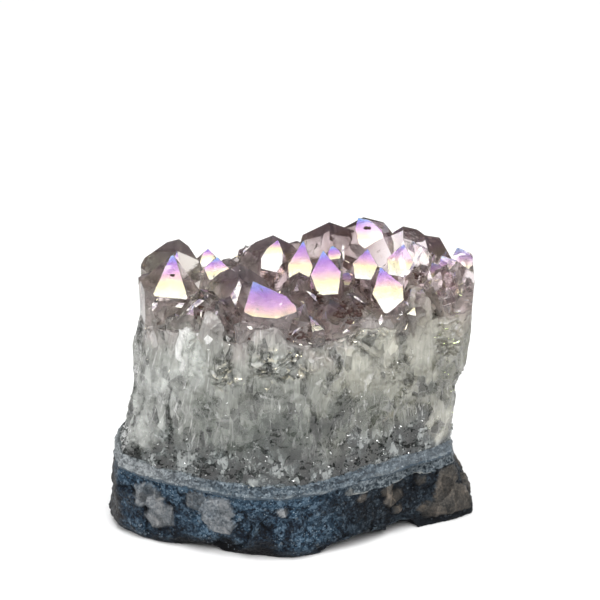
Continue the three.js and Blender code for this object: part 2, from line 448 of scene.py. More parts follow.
class Group(Nodes):
    # an effect that several materials use
    def __init__(self, name, numbers, masks):
        tree = bpy.data.node_groups.new(name, "ShaderNodeTree")
        tree.interface.new_socket("Place", in_out="INPUT", socket_type="NodeSocketVector")
        for label in numbers:
            tree.interface.new_socket(label, in_out="INPUT", socket_type="NodeSocketFloat")
        for label in masks:
            tree.interface.new_socket(label, in_out="OUTPUT", socket_type="NodeSocketFloat")
        self.given = tree.nodes.new("NodeGroupInput").outputs
        self.result = tree.nodes.new("NodeGroupOutput").inputs
        super().__init__(tree, self.given["Place"])


def makeGroups():
    # fine mineral grain: its tone, its height and a mask of the few grains painted bright as glints, a
    # painted highlight
    g = Group("mineralGrain", ["Scale"], ["Tone", "PaintedGlint", "Height"])
    scale = g.given["Scale"]
    grain = g.cells(scale)
    far = grain.outputs["Distance"]
    parts = g.add("ShaderNodeSeparateColor", Color=grain.outputs["Color"]).outputs
    dust = g.clouds(g.times(scale, 1.6), 3, 0.65)
    g.feed(g.result["Tone"], g.plus(g.times(parts[1], 0.45), g.times(dust, 0.55)))
    g.feed(g.result["PaintedGlint"], g.times(g.math("LESS_THAN", far, 0.34), g.math("GREATER_THAN", parts[0], 0.9)))
    g.feed(g.result["Height"], g.plus(g.times(g.rest(far), 0.6), dust))

    # splinters of a brittle break: a tone for each, the thin lines between them and the tilt of each
    g = Group("brokenFacets", ["Scale"], ["Tone", "Line", "Height"])
    scale = g.given["Scale"]
    bent = g.bend(g.stretch((1, 1, 0.5)), 600.0, 0.0002)
    cell = g.cells(scale, place=bent).outputs
    lean = g.vector("SUBTRACT", cell["Color"], (0.5, 0.5, 0.5))[0]
    tilt = g.vector("DOT_PRODUCT", g.vector("SUBTRACT", bent, cell["Position"])[0], lean)["Value"]
    g.feed(g.result["Tone"], g.add("ShaderNodeSeparateColor", Color=cell["Color"]).outputs[1])
    g.feed(g.result["Height"], g.plus(g.times(tilt, scale), 0.5))
    reach = g.cells(scale, "DISTANCE_TO_EDGE", bent).outputs["Distance"]
    lit = g.between(g.clouds(g.times(scale, 0.3), 1, 0.6), 0.46, 0.6)
    g.feed(g.result["Line"], g.times(g.rest(g.between(reach, 0.0, 0.06)), lit))

    # milky veils, drawn out upwards
    g = Group("milkyVeil", ["Scale"], ["Mask", "Wisp"])
    scale = g.given["Scale"]
    tall = g.stretch((1, 1, 0.3))
    veil = g.clouds(scale, 6, 0.68, 0.7, tall)
    wisp = g.clouds(g.times(scale, 3.4), 4, 0.7, 0.5, tall)
    g.feed(g.result["Mask"], g.ramp(veil, (0.36, 0.0), (0.52, 0.4), (0.68, 1.0)))
    g.feed(g.result["Wisp"], g.ramp(wisp, (0.55, 0.0), (0.74, 1.0)))

    # fine streaks along the columns, which fan out to the left
    g = Group("growthStreaks", ["Scale"], ["Tone", "Line"])
    scale = g.given["Scale"]
    parts = g.add("ShaderNodeSeparateXYZ", Vector=g.place).outputs
    fan = g.between(g.times(parts[0], -1 / mm), 2.0, 24.0)
    across = g.math("SUBTRACT", parts[0], g.times(parts[2], g.times(fan, 0.55)))
    tall = g.add("ShaderNodeCombineXYZ", _0=across, _1=parts[1], _2=g.times(parts[2], 0.14)).outputs[0]
    tall = g.bend(tall, 260.0, 0.0012)
    thread = g.clouds(g.times(scale, 1.7), 3, 0.72, 0.0, tall)
    g.feed(g.result["Tone"], g.clouds(scale, 4, 0.7, 0.0, tall))
    g.feed(g.result["Line"], g.ramp(thread, (0.56, 0.0), (0.70, 1.0)))

    # brown iron stain in blotches with ragged edges
    g = Group("ironStain", ["Scale", "Amount"], ["Mask"])
    blotch = g.clouds(g.given["Scale"], 6, 0.66, 0.3)
    edge = g.math("SUBTRACT", 0.78, g.times(g.given["Amount"], 0.3))
    g.feed(g.result["Mask"], g.math("MULTIPLY", g.math("SUBTRACT", blotch, edge), 7.0, clamp=True))

    # growth lines, pits and scratches of a crystal face
    g = Group("crystalFace", ["Scale"], ["Height", "Scratch"])
    scale = g.given["Scale"]
    lines = g.clouds(scale, 2, 0.5, 0.0, g.stretch((0.22, 0.22, 2.4)))
    pits = g.cells(g.times(scale, 0.55)).outputs["Distance"]
    g.feed(g.result["Height"], g.plus(g.times(lines, 0.7), g.times(pits, 0.5)))
    scratch = g.clouds(g.times(scale, 0.8), 3, 0.6, 0.0, g.stretch((1, 1, 0.2), (0.5, 0.3, 0.9)))
    g.feed(g.result["Scratch"], g.ramp(scratch, (0.66, 0.0), (0.70, 1.0)))
    print("shader groups ready")


basalt = {
    "voxel": 0.33 * mm,
    # the break, in mm: size and depth of the large chips, size and depth of the small ones
    "chipSize": 8.5,
    "chipDepth": 0.7,
    "smallChip": 1.7,
    "smallDepth": 0.10,
    "roughDepth": 0.22,
    "patchRise": 0.25,
    # mineral patches: x, height and half width on the front, in mm
    "frontPatches": [(-23.4, 8.4, 2.0), (-21.3, 5.0, 2.3), (-15.0, 9.0, 2.2), (-12.3, 7.9, 2.6),
                     (-11.0, 6.2, 2.4), (15.6, 8.6, 0.9), (16.8, 6.8, 1.3), (17.4, 4.6, 1.0),
                     (21.4, 8.6, 0.9), (25.6, 7.0, 2.4), (27.2, 3.6, 2.6), (22.4, 3.2, 1.4),
                     (11.4, 8.4, 0.8), (-1.6, 8.8, 0.9)],
    # patches on the other sides: how many, and the smallest and largest half width
    "otherPatches": 18,
    "otherSizes": (0.5, 2.8),
    # undercut at the foot of the front, which is also painted in shade: middle x, half width, height and
    # depth, in mm
    "undercut": (-11.0, 11.5, 5.4, 0.9),
    # colours by the tone of the grain
    "darkRock": [(0.34, (0.0005, 0.0012, 0.003)), (0.52, (0.005, 0.010, 0.019)),
                 (0.70, (0.034, 0.055, 0.08))],
    "paleRock": [(0.34, (0.004, 0.011, 0.024)), (0.50, (0.034, 0.072, 0.115)), (0.66, (0.14, 0.21, 0.28))],
    "patchTone": [(0.36, (0.040, 0.047, 0.054)), (0.50, (0.125, 0.135, 0.143)), (0.66, (0.25, 0.25, 0.25))],
    "stripTone": [(0.36, (0.020, 0.028, 0.036)), (0.5, (0.085, 0.105, 0.12)), (0.66, (0.22, 0.25, 0.27))],
    "rightTint": (0.72, 0.60, 0.52),
    "patchTint": (0.60, 0.50, 0.41),
    "shadow": (0.001, 0.001, 0.002),
    "seed": 5,
}


def patchSpots(look):
    rng = random.Random(look["seed"])
    spots = []

    def outline():
        # the directions of a patch's five straight sides, and how far out each lies
        first = rng.uniform(0, 1.2)
        turns = [first + k * 1.257 for k in range(5)]
        return [(math.cos(turn), math.sin(turn), rng.uniform(0.7, 1.25)) for turn in turns]

    for x, z, half in look["frontPatches"]:
        spots.append((Vector((x, frontEdge(x), z)), half, outline()))
    for _ in range(look["otherPatches"]):
        turn = rng.uniform(-0.1, 1.1) * math.pi
        centre = Vector((29 * math.cos(turn), 18.5 * math.sin(turn), rng.uniform(1.5, 9.5)))
        spots.append((centre, rng.uniform(*look["otherSizes"]), outline()))
    return spots


def patchShare(place, spots):
    wobble = noise.noise_vector(place * 1.3) * 0.15
    best = 0.0
    for centre, half, sides in spots:
        offset = place + wobble - centre
        if offset.length > 2.4 * half:
            continue
        across = offset.x if abs(centre.x) < 27 else offset.y
        reach = max(c * across + s * offset.z - half * stretch for c, s, stretch in sides)
        best = max(best, -reach)
    return smoothStep(0.0, 0.3, best)


# how much of the undercut is here: it moves the rock in, and it is the painted shade there
def undercutShare(place, look):
    middle, half, high, _ = look["undercut"]
    across = 1 - smoothStep(0.55, 1.0, abs(place.x - middle) / half)
    wave = high * (0.75 + 0.5 * noise.noise(Vector((place.x * 0.3, 0, 0))))
    return across * (1 - smoothStep(0.2, 1.0, place.z / wave)) * (1 if place.y < 0 else 0)


def basaltMaterial(look):
    s = Shader("roughBasalt")
    fine = s.use("mineralGrain", Scale=3000.0)
    coarse = s.use("mineralGrain", Scale=1200.0)
    tone = s.plus(s.times(fine["Tone"], 0.6), s.times(coarse["Tone"], 0.4))
    right = s.between(s.plus(s.along(0), s.times(s.clouds(90, 3), 10.0)), 8.0, 18.0)
    # pale blue clouds, and a pale strip under the layer, both weaker on the right
    pale = s.ramp(s.clouds(120, 8, 0.68, 0.4), (0.44, 0.0), (0.60, 1.0))
    upper = s.between(s.plus(s.along(2), s.times(s.clouds(200, 3), 3.0)), 9.6, 11.4)
    pale = s.times(s.larger(pale, s.times(upper, 0.7)), s.rest(s.times(right, 0.85)))
    rock = s.mix(pale, s.ramp(tone, *look["darkRock"]), s.ramp(tone, *look["paleRock"]))
    rock = s.mix(s.times(right, 0.9), rock, s.tinted(rock, look["rightTint"]))
    # painted shade in the hollows and a painted highlight on the ridges
    edge = s.attribute("edge")
    rock = s.mix(s.ramp(edge, (0.22, 0.85), (0.44, 0.0)), rock, (0.0008, 0.001, 0.002))
    rock = s.mix(s.ramp(edge, (0.58, 0.0), (0.9, 0.45)), rock, (0.10, 0.14, 0.17))
    # mineral patches, browner on the right
    taupe = s.plus(s.times(s.clouds(380, 7, 0.72), 0.75), s.times(fine["Tone"], 0.25))
    taupe = s.ramp(taupe, *look["patchTone"])
    # each splinter of a patch lighter or darker: painted light and shade of its facets, with lighter lines
    # between them
    shards = s.use("brokenFacets", Scale=520.0)
    taupe = s.tinted(taupe, s.ramp(shards["Tone"], (0.1, 0.55), (0.5, 1.0), (0.9, 1.6)))
    taupe = s.mix(s.times(shards["Line"], 0.5), taupe, (0.36, 0.35, 0.33))
    taupe = s.mix(right, taupe, s.tinted(taupe, look["patchTint"]))
    color = s.mix(s.times(s.attribute("patch"), 0.85), rock, taupe)
    # painted shade along the foot, darkest at the floor
    low = s.between(s.plus(s.along(2), s.times(s.clouds(160, 4, 0.6), 4.0)), 2.2, 5.5)
    color = s.mix(low, s.mix(0.75, color, look["shadow"]), color)
    # the layer's colour runs on below it, with a thin broken line at its lower edge
    strip = s.plus(s.attribute("bandFoot"), s.sway(0.5, 260, 4, 0.65))
    color = s.mix(s.times(s.between(strip, 0.4, 0.55), 0.9), color, s.ramp(tone, *look["stripTone"]))
    line = s.times(s.between(strip, 0.36, 0.46), s.rest(s.between(strip, 0.5, 0.62)))
    line = s.times(line, s.between(s.clouds(300, 3), 0.42, 0.55))
    color = s.mix(line, color, (0.27, 0.28, 0.27))
    # brown-grey end on the far left
    lobe = s.between(s.math("SUBTRACT", s.times(s.clouds(150, 3), 5.0), s.along(0)), 30.4, 32.0)
    color = s.mix(s.times(lobe, 0.8), color, s.mix(tone, (0.016, 0.014, 0.013), (0.075, 0.068, 0.062)))
    # painted shadow in the undercut
    color = s.mix(s.attribute("shade"), color, look["shadow"])
    # painted glints: a few grains painted bright, brighter on the pale clouds and not on the patches
    paintedGlint = s.times(s.larger(fine["PaintedGlint"], s.times(coarse["PaintedGlint"], 0.5)), s.plus(s.times(pale, 0.5), 0.06))
    color = s.mix(s.times(paintedGlint, s.rest(s.attribute("patch"))), color, (0.42, 0.50, 0.56))
    rough = s.plus(fine["Height"], s.times(coarse["Height"], 2.0))
    s.set(Base_Color=color, Roughness=s.ramp(tone, (0.3, 0.34), (0.7, 0.65)), Specular_IOR_Level=0.12,
          Normal=s.bump(rough, 0.7, 0.16 * mm))
    return s.material


def makeBasalt(look):
    spots = patchSpots(look)
    piece = addPiece("basaltRock", copyOfNode("basalt_matrix"), None, smooth=True)
    voxelSkin(piece, look["voxel"])

    def push(place, normal):
        chip, groove = cellTilt(place, look["chipSize"])
        small, _ = cellTilt(place, look["smallChip"], salt=3.0)
        rough = noise.fractal(place * 1.1, 1.0, 2.0, 4)
        patch = patchShare(place, spots)
        flatter = 1 - 0.6 * patch
        rise = look["chipDepth"] * (chip * 0.6 - groove * 0.35) * flatter
        rise += look["smallDepth"] * small * flatter
        rise += look["roughDepth"] * rough + look["patchRise"] * patch
        free = smoothStep(0.2, 1.4, place.z) * (1 - 0.8 * smoothStep(0.7, 1.0, abs(normal.z)))
        move = normal * (rise * free)
        move.y += look["undercut"][3] * undercutShare(place, look)
        move.z = max(move.z, -place.z) + 0.3 * smoothStep(0.4, 0.8, normal.z)
        return move

    def bandFoot(place):
        # on the right the layer's colour runs on below it
        under = bandBox[0].z / mm + bowl(place, chalcedony["bowlRadius"]) - place.z
        return smoothStep(4.0, 16.0, place.x) * (1 - smoothStep(1.6, 2.4, under))

    sculpt(piece, push)
    paintPoints(piece, "patch", lambda place: patchShare(place, spots))
    paintPoints(piece, "shade", lambda place: undercutShare(place, look))
    paintPoints(piece, "bandFoot", bandFoot)
    paintEdges(piece, 0.22)
    dress(piece, basaltMaterial(look), smooth=True)
    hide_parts("basalt_matrix")
    print("basalt", len(piece.data.vertices), "vertices")
    return piece


chalcedony = {
    "voxel": 0.28 * mm,
    "wander": 0.2,
    "roughDepth": 0.34,
    "bowlRadius": 420.0,
    # heights above the layer's foot, in mm: where the dark upper fringe starts, where it is full,
    # and how far up the rock's ragged edge reaches
    "fringe": (1.6, 3.0, 0.5),
    # colours by the tone of the grain
    "layerTone": [(0.36, (0.010, 0.017, 0.026)), (0.49, (0.058, 0.085, 0.110)), (0.62, (0.19, 0.23, 0.26))],
    "leftTone": [(0.38, (0.16, 0.17, 0.175)), (0.6, (0.50, 0.51, 0.50))],
    "fringeTone": [(0.42, (0.010, 0.015, 0.016)), (0.58, (0.12, 0.14, 0.145))],
}


def chalcedonyMaterial(look):
    s = Shader("bandedChalcedony")
    fine = s.use("mineralGrain", Scale=3200.0)
    coarse = s.use("mineralGrain", Scale=1300.0)
    veil = s.use("milkyVeil", Scale=500.0)
    # thin level layers in the grain
    level = s.times(s.plus(s.along(2), s.times(s.clouds(110, 4, 0.6), 1.6)), 2.4)
    layers = s.add("ShaderNodeTexNoise", {"noise_dimensions": "1D"}, W=level, Scale=1.0, Detail=4.0,
                   Roughness=0.7).outputs["Fac"]
    tone = s.plus(s.times(coarse["Tone"], 0.3), s.times(layers, 0.25))
    tone = s.plus(s.times(fine["Tone"], 0.45), tone)
    color = s.ramp(tone, *look["layerTone"])
    # lighter ends
    left = s.between(s.times(s.along(0), -1.0), 12.0, 24.0)
    color = s.mix(s.times(left, 0.55), color, s.ramp(tone, *look["leftTone"]))
    right = s.between(s.plus(s.along(0), s.times(s.clouds(80, 3), 8.0)), 12.0, 22.0)
    color = s.mix(s.times(right, 0.35), color, (0.19, 0.21, 0.225))
    color = s.mix(s.times(veil["Mask"], 0.30), color, (0.035, 0.050, 0.062))
    worn = s.ramp(s.clouds(420, 5, 0.7), (0.40, 0.0), (0.62, 1.0))
    color = s.mix(s.times(s.attribute("rim"), worn), color, (0.27, 0.30, 0.31))
    # ragged upper and lower edges
    ragged = s.plus(s.attribute("fringe"), s.sway(1.6, 330, 5, 0.7))
    color = s.mix(s.times(s.between(ragged, 0.45, 0.6), 0.85), color, s.ramp(tone, *look["fringeTone"]))
    ragged = s.plus(s.attribute("root"), s.sway(1.6, 290, 5, 0.7))
    rock = s.mix(tone, (0.004, 0.010, 0.020), (0.060, 0.10, 0.14))
    color = s.mix(s.times(s.between(ragged, 0.5, 0.62), 0.8), color, rock)
    # painted glints: a few grains painted bright
    color = s.mix(s.times(fine["PaintedGlint"], 0.4), color, (0.55, 0.62, 0.66))
    rough = s.plus(fine["Height"], s.times(coarse["Height"], 2.0))
    s.set(Base_Color=color, Roughness=s.ramp(tone, (0.3, 0.35), (0.7, 0.6)), Specular_IOR_Level=0.35,
          Normal=s.bump(rough, 0.7, 0.14 * mm))
    return s.material


def makeChalcedony(look):
    piece = addPiece("chalcedonyLayer", copyOfNode("chalcedony_band"), None, smooth=True)
    voxelSkin(piece, look["voxel"])
    floorLevel = bandBox[0].z / mm

    def push(place, normal):
        chip, groove = cellTilt(place, 3.4, tall=0.6, salt=9.0)
        rough = noise.fractal(place * 1.5, 1.0, 2.0, 4)
        side = 1 - smoothStep(0.5, 0.95, abs(normal.z))
        out = (look["wander"] * chip + look["roughDepth"] * rough - 0.05 * groove) * side + 0.16 * side
        return Vector((normal.x, normal.y, 0)) * out + Vector((0, 0, normal.z)) * 0.35

    def above(place):
        # the height above the foot of the layer, in mm
        return place.z - bowl(place, look["bowlRadius"]) - floorLevel

    def rim(place):
        lowest = 1 - smoothStep(0.2, 0.8, above(place) + 0.5 * noise.noise(place * 0.5))
        return lowest * smoothStep(-0.3, 0.3, noise.noise(place * 0.35) + 0.1)

    sculpt(piece, push)
    paintPoints(piece, "rim", rim)
    start, full, root = look["fringe"]
    paintPoints(piece, "fringe", lambda place: smoothStep(start, full, above(place)))
    paintPoints(piece, "root", lambda place: 1 - smoothStep(0.0, root, above(place)))
    paintEdges(piece, 0.2)
    dress(piece, chalcedonyMaterial(look), smooth=True)
    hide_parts("chalcedony_band")
    print("chalcedony", len(piece.data.vertices), "vertices")
    return piece


cloudyQuartz = {
    "meshSize": 0.6,
    "fineMesh": 0.34,
    "edgeLevel": 37.0,
    # where the cloudy part reaches higher: x, half width and rise, in mm
    "arches": [(12.6, 5.8, 0.8), (21.0, 4.6, 5.4), (-16.2, 2.0, 1.4), (-4.0, 4.4, 2.4), (-12.4, 2.6, 4.2)],
    # larger wedges on the front: x, top, length, top radius and how far it stands out, in mm
    "frontWedges": [(11.8, 32.4, 10.5, 3.0, 0.8), (21.0, 42.0, 18.0, 3.8, 0.5), (-16.0, 38.6, 11.0, 1.7, 0.6),
                    (-20.8, 37.2, 13.0, 2.6, 0.4), (-12.2, 41.8, 15.0, 2.2, 0.5), (-4.6, 31.6, 9.0, 3.0, 0.5),
                    (3.6, 36.4, 13.0, 2.8, 0.4), (7.4, 33.0, 12.0, 2.1, 0.4), (24.2, 33.0, 10.0, 2.3, 0.4),
                    (16.8, 36.0, 13.0, 2.2, 0.4), (-1.0, 35.6, 6.0, 2.4, 0.3), (14.4, 39.0, 6.0, 2.6, 0.3),
                    (12.4, 38.2, 6.0, 5.0, 0.9)],
    # more columns: side, from, to, how many, lowest and highest top, lengths, radii
    # and how far they stand out
    "columns": [("front", -24, 25, 42, (24, 37), (7, 14), (1.0, 2.4), (-0.35, 0.15)),
                ("back", -24, 25, 42, (24, 37), (7, 15), (1.0, 2.6), (-0.35, 0.15)),
                ("left", -14, 14, 20, (24, 37), (7, 13), (1.0, 2.4), (-0.4, 0.0)),
                ("right", -12, 14, 20, (24, 37), (7, 13), (1.0, 2.4), (-0.4, 0.0)),
                ("front", -25, 26, 90, (18, 36), (2.5, 6.0), (0.5, 1.3), (-0.25, 0.1)),
                ("back", -25, 26, 60, (18, 36), (2.5, 6.0), (0.6, 1.5), (-0.25, 0.1)),
                ("left", -14, 14, 26, (18, 36), (2.5, 6.0), (0.6, 1.5), (-0.3, 0.0)),
                ("right", -12, 14, 26, (18, 36), (2.5, 6.0), (0.6, 1.5), (-0.3, 0.0))],
    "lean": 0.26,
    # height and depth of the shell-like steps, in mm
    "stepHeight": 1.3,
    "stepDepth": 0.7,
    # shell-like breaks on the front: x, height and half sizes, in mm
    "shellBreaks": [(-1.0, 34.0, 7.0, 3.4), (-10.6, 31.6, 3.0, 3.2), (25.4, 33.4, 2.8, 4.6),
                    (12.4, 36.6, 5.6, 1.5), (-16.2, 36.4, 1.5, 2.6)],
    # whiter (+) and darker (-) parts of the front: x, height, half sizes and how much
    "zones": [(-25.9, 20.4, 5.4, 4.4, 1.0), (24.1, 18.0, 4.4, 4.0, 0.6), (-21.5, 25.5, 4.6, 6.5, 0.65),
              (12.4, 32.5, 6.2, 5.0, 0.35), (-16.0, 33.4, 2.3, 6.4, 1.6), (21.0, 34.0, 4.0, 7.0, 0.2),
              (25.4, 33.4, 2.6, 4.0, 0.6), (-1.0, 34.0, 6.0, 2.6, 0.5), (21.6, 24.6, 4.4, 3.4, 0.55),
              (-1.5, 21.5, 9.5, 6.0, -0.9), (-13.6, 25.0, 2.6, 4.0, -0.5), (7.4, 25.0, 3.0, 5.0, -0.6),
              (22.8, 24.8, 1.1, 1.7, -1.6), (12.4, 36.6, 6.4, 1.9, 1.0), (-20.5, 29.5, 4.8, 6.0, 0.5),
              (22.0, 31.0, 5.0, 4.0, 0.25), (12.5, 24.0, 4.4, 4.4, -0.5), (-22.0, 32.4, 2.2, 3.0, -0.4),
              (-4.0, 29.0, 4.0, 2.6, -0.5), (4.6, 36.4, 3.0, 2.0, -0.4)],
    # smoother glassy faces on the front: x, height and half sizes, in mm
    "calm": [(21.2, 35.0, 3.8, 8.5), (11.8, 27.8, 3.2, 5.2), (-12.3, 38.6, 2.2, 5.4), (-16.0, 33.4, 1.6, 5.2),
             (4.0, 33.0, 2.0, 4.0), (-8.0, 34.0, 1.8, 4.5), (-21.8, 34.0, 2.2, 3.6)],
    # the level of the granular part, in mm, and how sharply it ends
    "grainTop": 19.6,
    "grainFade": (-4.0, 2.5),
    # the colour from the foot to the clear points, then single colours
    "bodyTone": [(0.0, (0.13, 0.145, 0.13)), (0.25, (0.24, 0.26, 0.235)), (0.45, (0.40, 0.405, 0.375)),
                 (0.78, (0.54, 0.53, 0.50)), (0.95, (0.55, 0.51, 0.50)), (1.0, (0.50, 0.44, 0.44))],
    "crownTint": (0.80, 0.69, 0.69),
    "crownStain": (0.52, 0.38, 0.28),
    "darkTint": (0.10, 0.115, 0.10),
    "whiteTint": (0.92, 0.92, 0.91),
    "leftTint": (0.97, 1.0, 0.955),
    "rightTint": (1.0, 0.98, 0.86),
    "grainTone": [(0.25, (0.002, 0.004, 0.004)), (0.5, (0.026, 0.034, 0.035)), (0.72, (0.16, 0.185, 0.185)),
                  (0.88, (0.60, 0.64, 0.63))],
    "seed": 21,
}


def cloudyEdge(x, y):
    # the height in mm where the clear points take over from the cloudy roots
    level = cloudyQuartz["edgeLevel"]
    behind = y - frontEdge(x)
    for middle, half, rise in cloudyQuartz["arches"]:
        level += rise * (1 - smoothStep(0.35, 1.0, abs(x - middle) / half)) * (1 - smoothStep(6, 14, behind))
    level += 1.5 * noise.noise(Vector((x * 0.16, y * 0.16, 4.0)))
    level += 2.6 * noise.noise(Vector((x * 0.24, y * 0.24, 6.0))) * smoothStep(3, 9, behind)
    return level + 0.7 * noise.noise(Vector((x * 0.6, y * 0.6, 8.0)))


def edgeCutter(shift, farLevel):
    # a closed block between the cloudy edge, moved by shift, and a far level, in mm
    bm = bmesh.new()
    wide = Matrix.Diagonal((38 * mm, 26 * mm, 1, 1))
    bmesh.ops.create_grid(bm, x_segments=84, y_segments=58, size=1, matrix=wide)
    for vert in bm.verts:
        vert.co.z = (cloudyEdge(vert.co.x / mm, vert.co.y / mm) + shift) * mm
    made = bmesh.ops.extrude_face_region(bm, geom=bm.faces[:])
    for item in made["geom"]:
        if isinstance(item, bmesh.types.BMVert):
            item.co.z = farLevel * mm
    bmesh.ops.recalc_face_normals(bm, faces=bm.faces)
    return plainObject("edgeCutter", bm)


def wedgeObject(place, normal, below, top, length, radius, standOut, lean, rng):
    # a six-sided column along the wall that tapers downwards, uneven, with a slanting broken top
    out = Vector((normal.x, normal.y, 0)).normalized()
    side = Vector((-out.y, out.x, 0))
    fan = 0.34 * smoothStep(8, 22, -place.x / mm) + 0.12 * smoothStep(14, 24, place.x / mm)
    rise = (place - below).normalized() if below else Vector((0, 0, 1))
    axis = (rise + out * rng.uniform(0.0, 0.4) * lean + side * rng.uniform(-1, 1) * lean
            + side * side.x * fan).normalized()
    facing = (out - axis * out.dot(axis)).normalized()
    frameOf = Matrix((facing, axis.cross(facing), axis)).transposed().to_4x4()
    bm = bmesh.new()
    bmesh.ops.create_cone(bm, cap_ends=True, segments=6, radius1=radius * rng.uniform(0.18, 0.5),
                          radius2=radius, depth=length)
    turn = Matrix.Rotation(math.radians(30 + rng.uniform(-18, 18)), 4, "Z")
    bmesh.ops.transform(bm, verts=bm.verts, matrix=turn)
    slant = Vector((rng.uniform(-1.6, -0.7), rng.uniform(-0.8, 0.8), 0))
    for vert in bm.verts:
        vert.co.x *= rng.uniform(0.86, 1.12)
        vert.co.y *= rng.uniform(0.86, 1.12)
        if vert.co.z > 0:
            vert.co.z += vert.co.dot(slant)
    crown = Vector((place.x, place.y, top * mm)) - out * (radius * 0.82 - standOut) * mm
    spot = Matrix.Translation(crown - axis * length / 2 * mm)
    bmesh.ops.transform(bm, verts=bm.verts, matrix=spot @ frameOf @ Matrix.Scale(mm, 4))
    bmesh.ops.recalc_face_normals(bm, faces=bm.faces)
    return plainObject("wedge", bm)


def shellBreak(place, spare=0.55):
    # how strongly the surface is broken in shell-like steps here
    best = 0.0
    if place.y < frontEdge(place.x) + 5:
        for x, z, halfX, halfZ in cloudyQuartz["shellBreaks"]:
            best = max(best, 1 - math.hypot((place.x - x) / halfX, (place.z - z) / halfZ))
    if spare:
        spare *= smoothStep(0.05, 0.4, waver(*place * 0.16, (5, 5, 5)))
    return max(smoothStep(0.0, 0.35, best), spare)


def stepWave(place):
    # from 0 at the foot of a shell-like step to 1 at its lip
    sway = 2.2 * noise.noise(place * 0.22) + 0.9 * noise.noise(place * 0.7)
    return (place.z / cloudyQuartz["stepHeight"] + sway) % 1.0


def ledgeLight(place):
    # the lips of the steps, which get a painted highlight and the flakes that throw the light back
    strong = shellBreak(place, 0.0)
    if strong < 0.05:
        return 0.0
    broken = smoothStep(-0.05, 0.3, waver(place.x * 0.7, place.y * 0.7, place.z * 1.6, (3, 3, 3)))
    return strong * broken * smoothStep(0.45, 0.8, stepWave(place))


def milkiness(place):
    # from -1 where the quartz is dark and clear to 1 where it is white
    value = 0.5 * waver(*place * 0.14, (9, 0, 2))
    if place.y < frontEdge(place.x) + 6:
        for x, z, halfX, halfZ, amount in cloudyQuartz["zones"]:
            reach = math.hypot((place.x - x) / halfX, (place.z - z) / halfZ) + 0.45 * noise.noise(place * 0.6)
            value += amount * (1 - smoothStep(0.35, 1.1, reach))
    return value


def calmShare(place):
    # 1 on the smoother faces and just under the clear points
    best = smoothStep(-0.7, -0.2, place.z - cloudyEdge(place.x, place.y))
    if place.y < frontEdge(place.x) + 5:
        for x, z, halfX, halfZ in cloudyQuartz["calm"]:
            reach = math.hypot((place.x - x) / halfX, (place.z - z) / halfZ) + 0.2 * noise.noise(place * 0.9)
            best = max(best, 1 - smoothStep(0.75, 1.0, reach))
    return max(best, 0.8 * smoothStep(0.1, 0.35, waver(*place * 0.27, (2, 8, 6))))


def grainyShare(place):
    # 1 in the granular foot, which is lower under the white parts and at both ends
    top = cloudyQuartz["grainTop"] + bowl(place, chalcedony["bowlRadius"])
    top += 4.5 * noise.noise(place * 0.17) + 1.5 * noise.noise(place * 0.6)
    top -= 7.0 * max(0.0, milkiness(place) - 0.3)
    top -= 3.5 * smoothStep(19, 25, -place.x) + 2.0 * smoothStep(20, 26, place.x)
    return 1 - smoothStep(*cloudyQuartz["grainFade"], place.z - top)


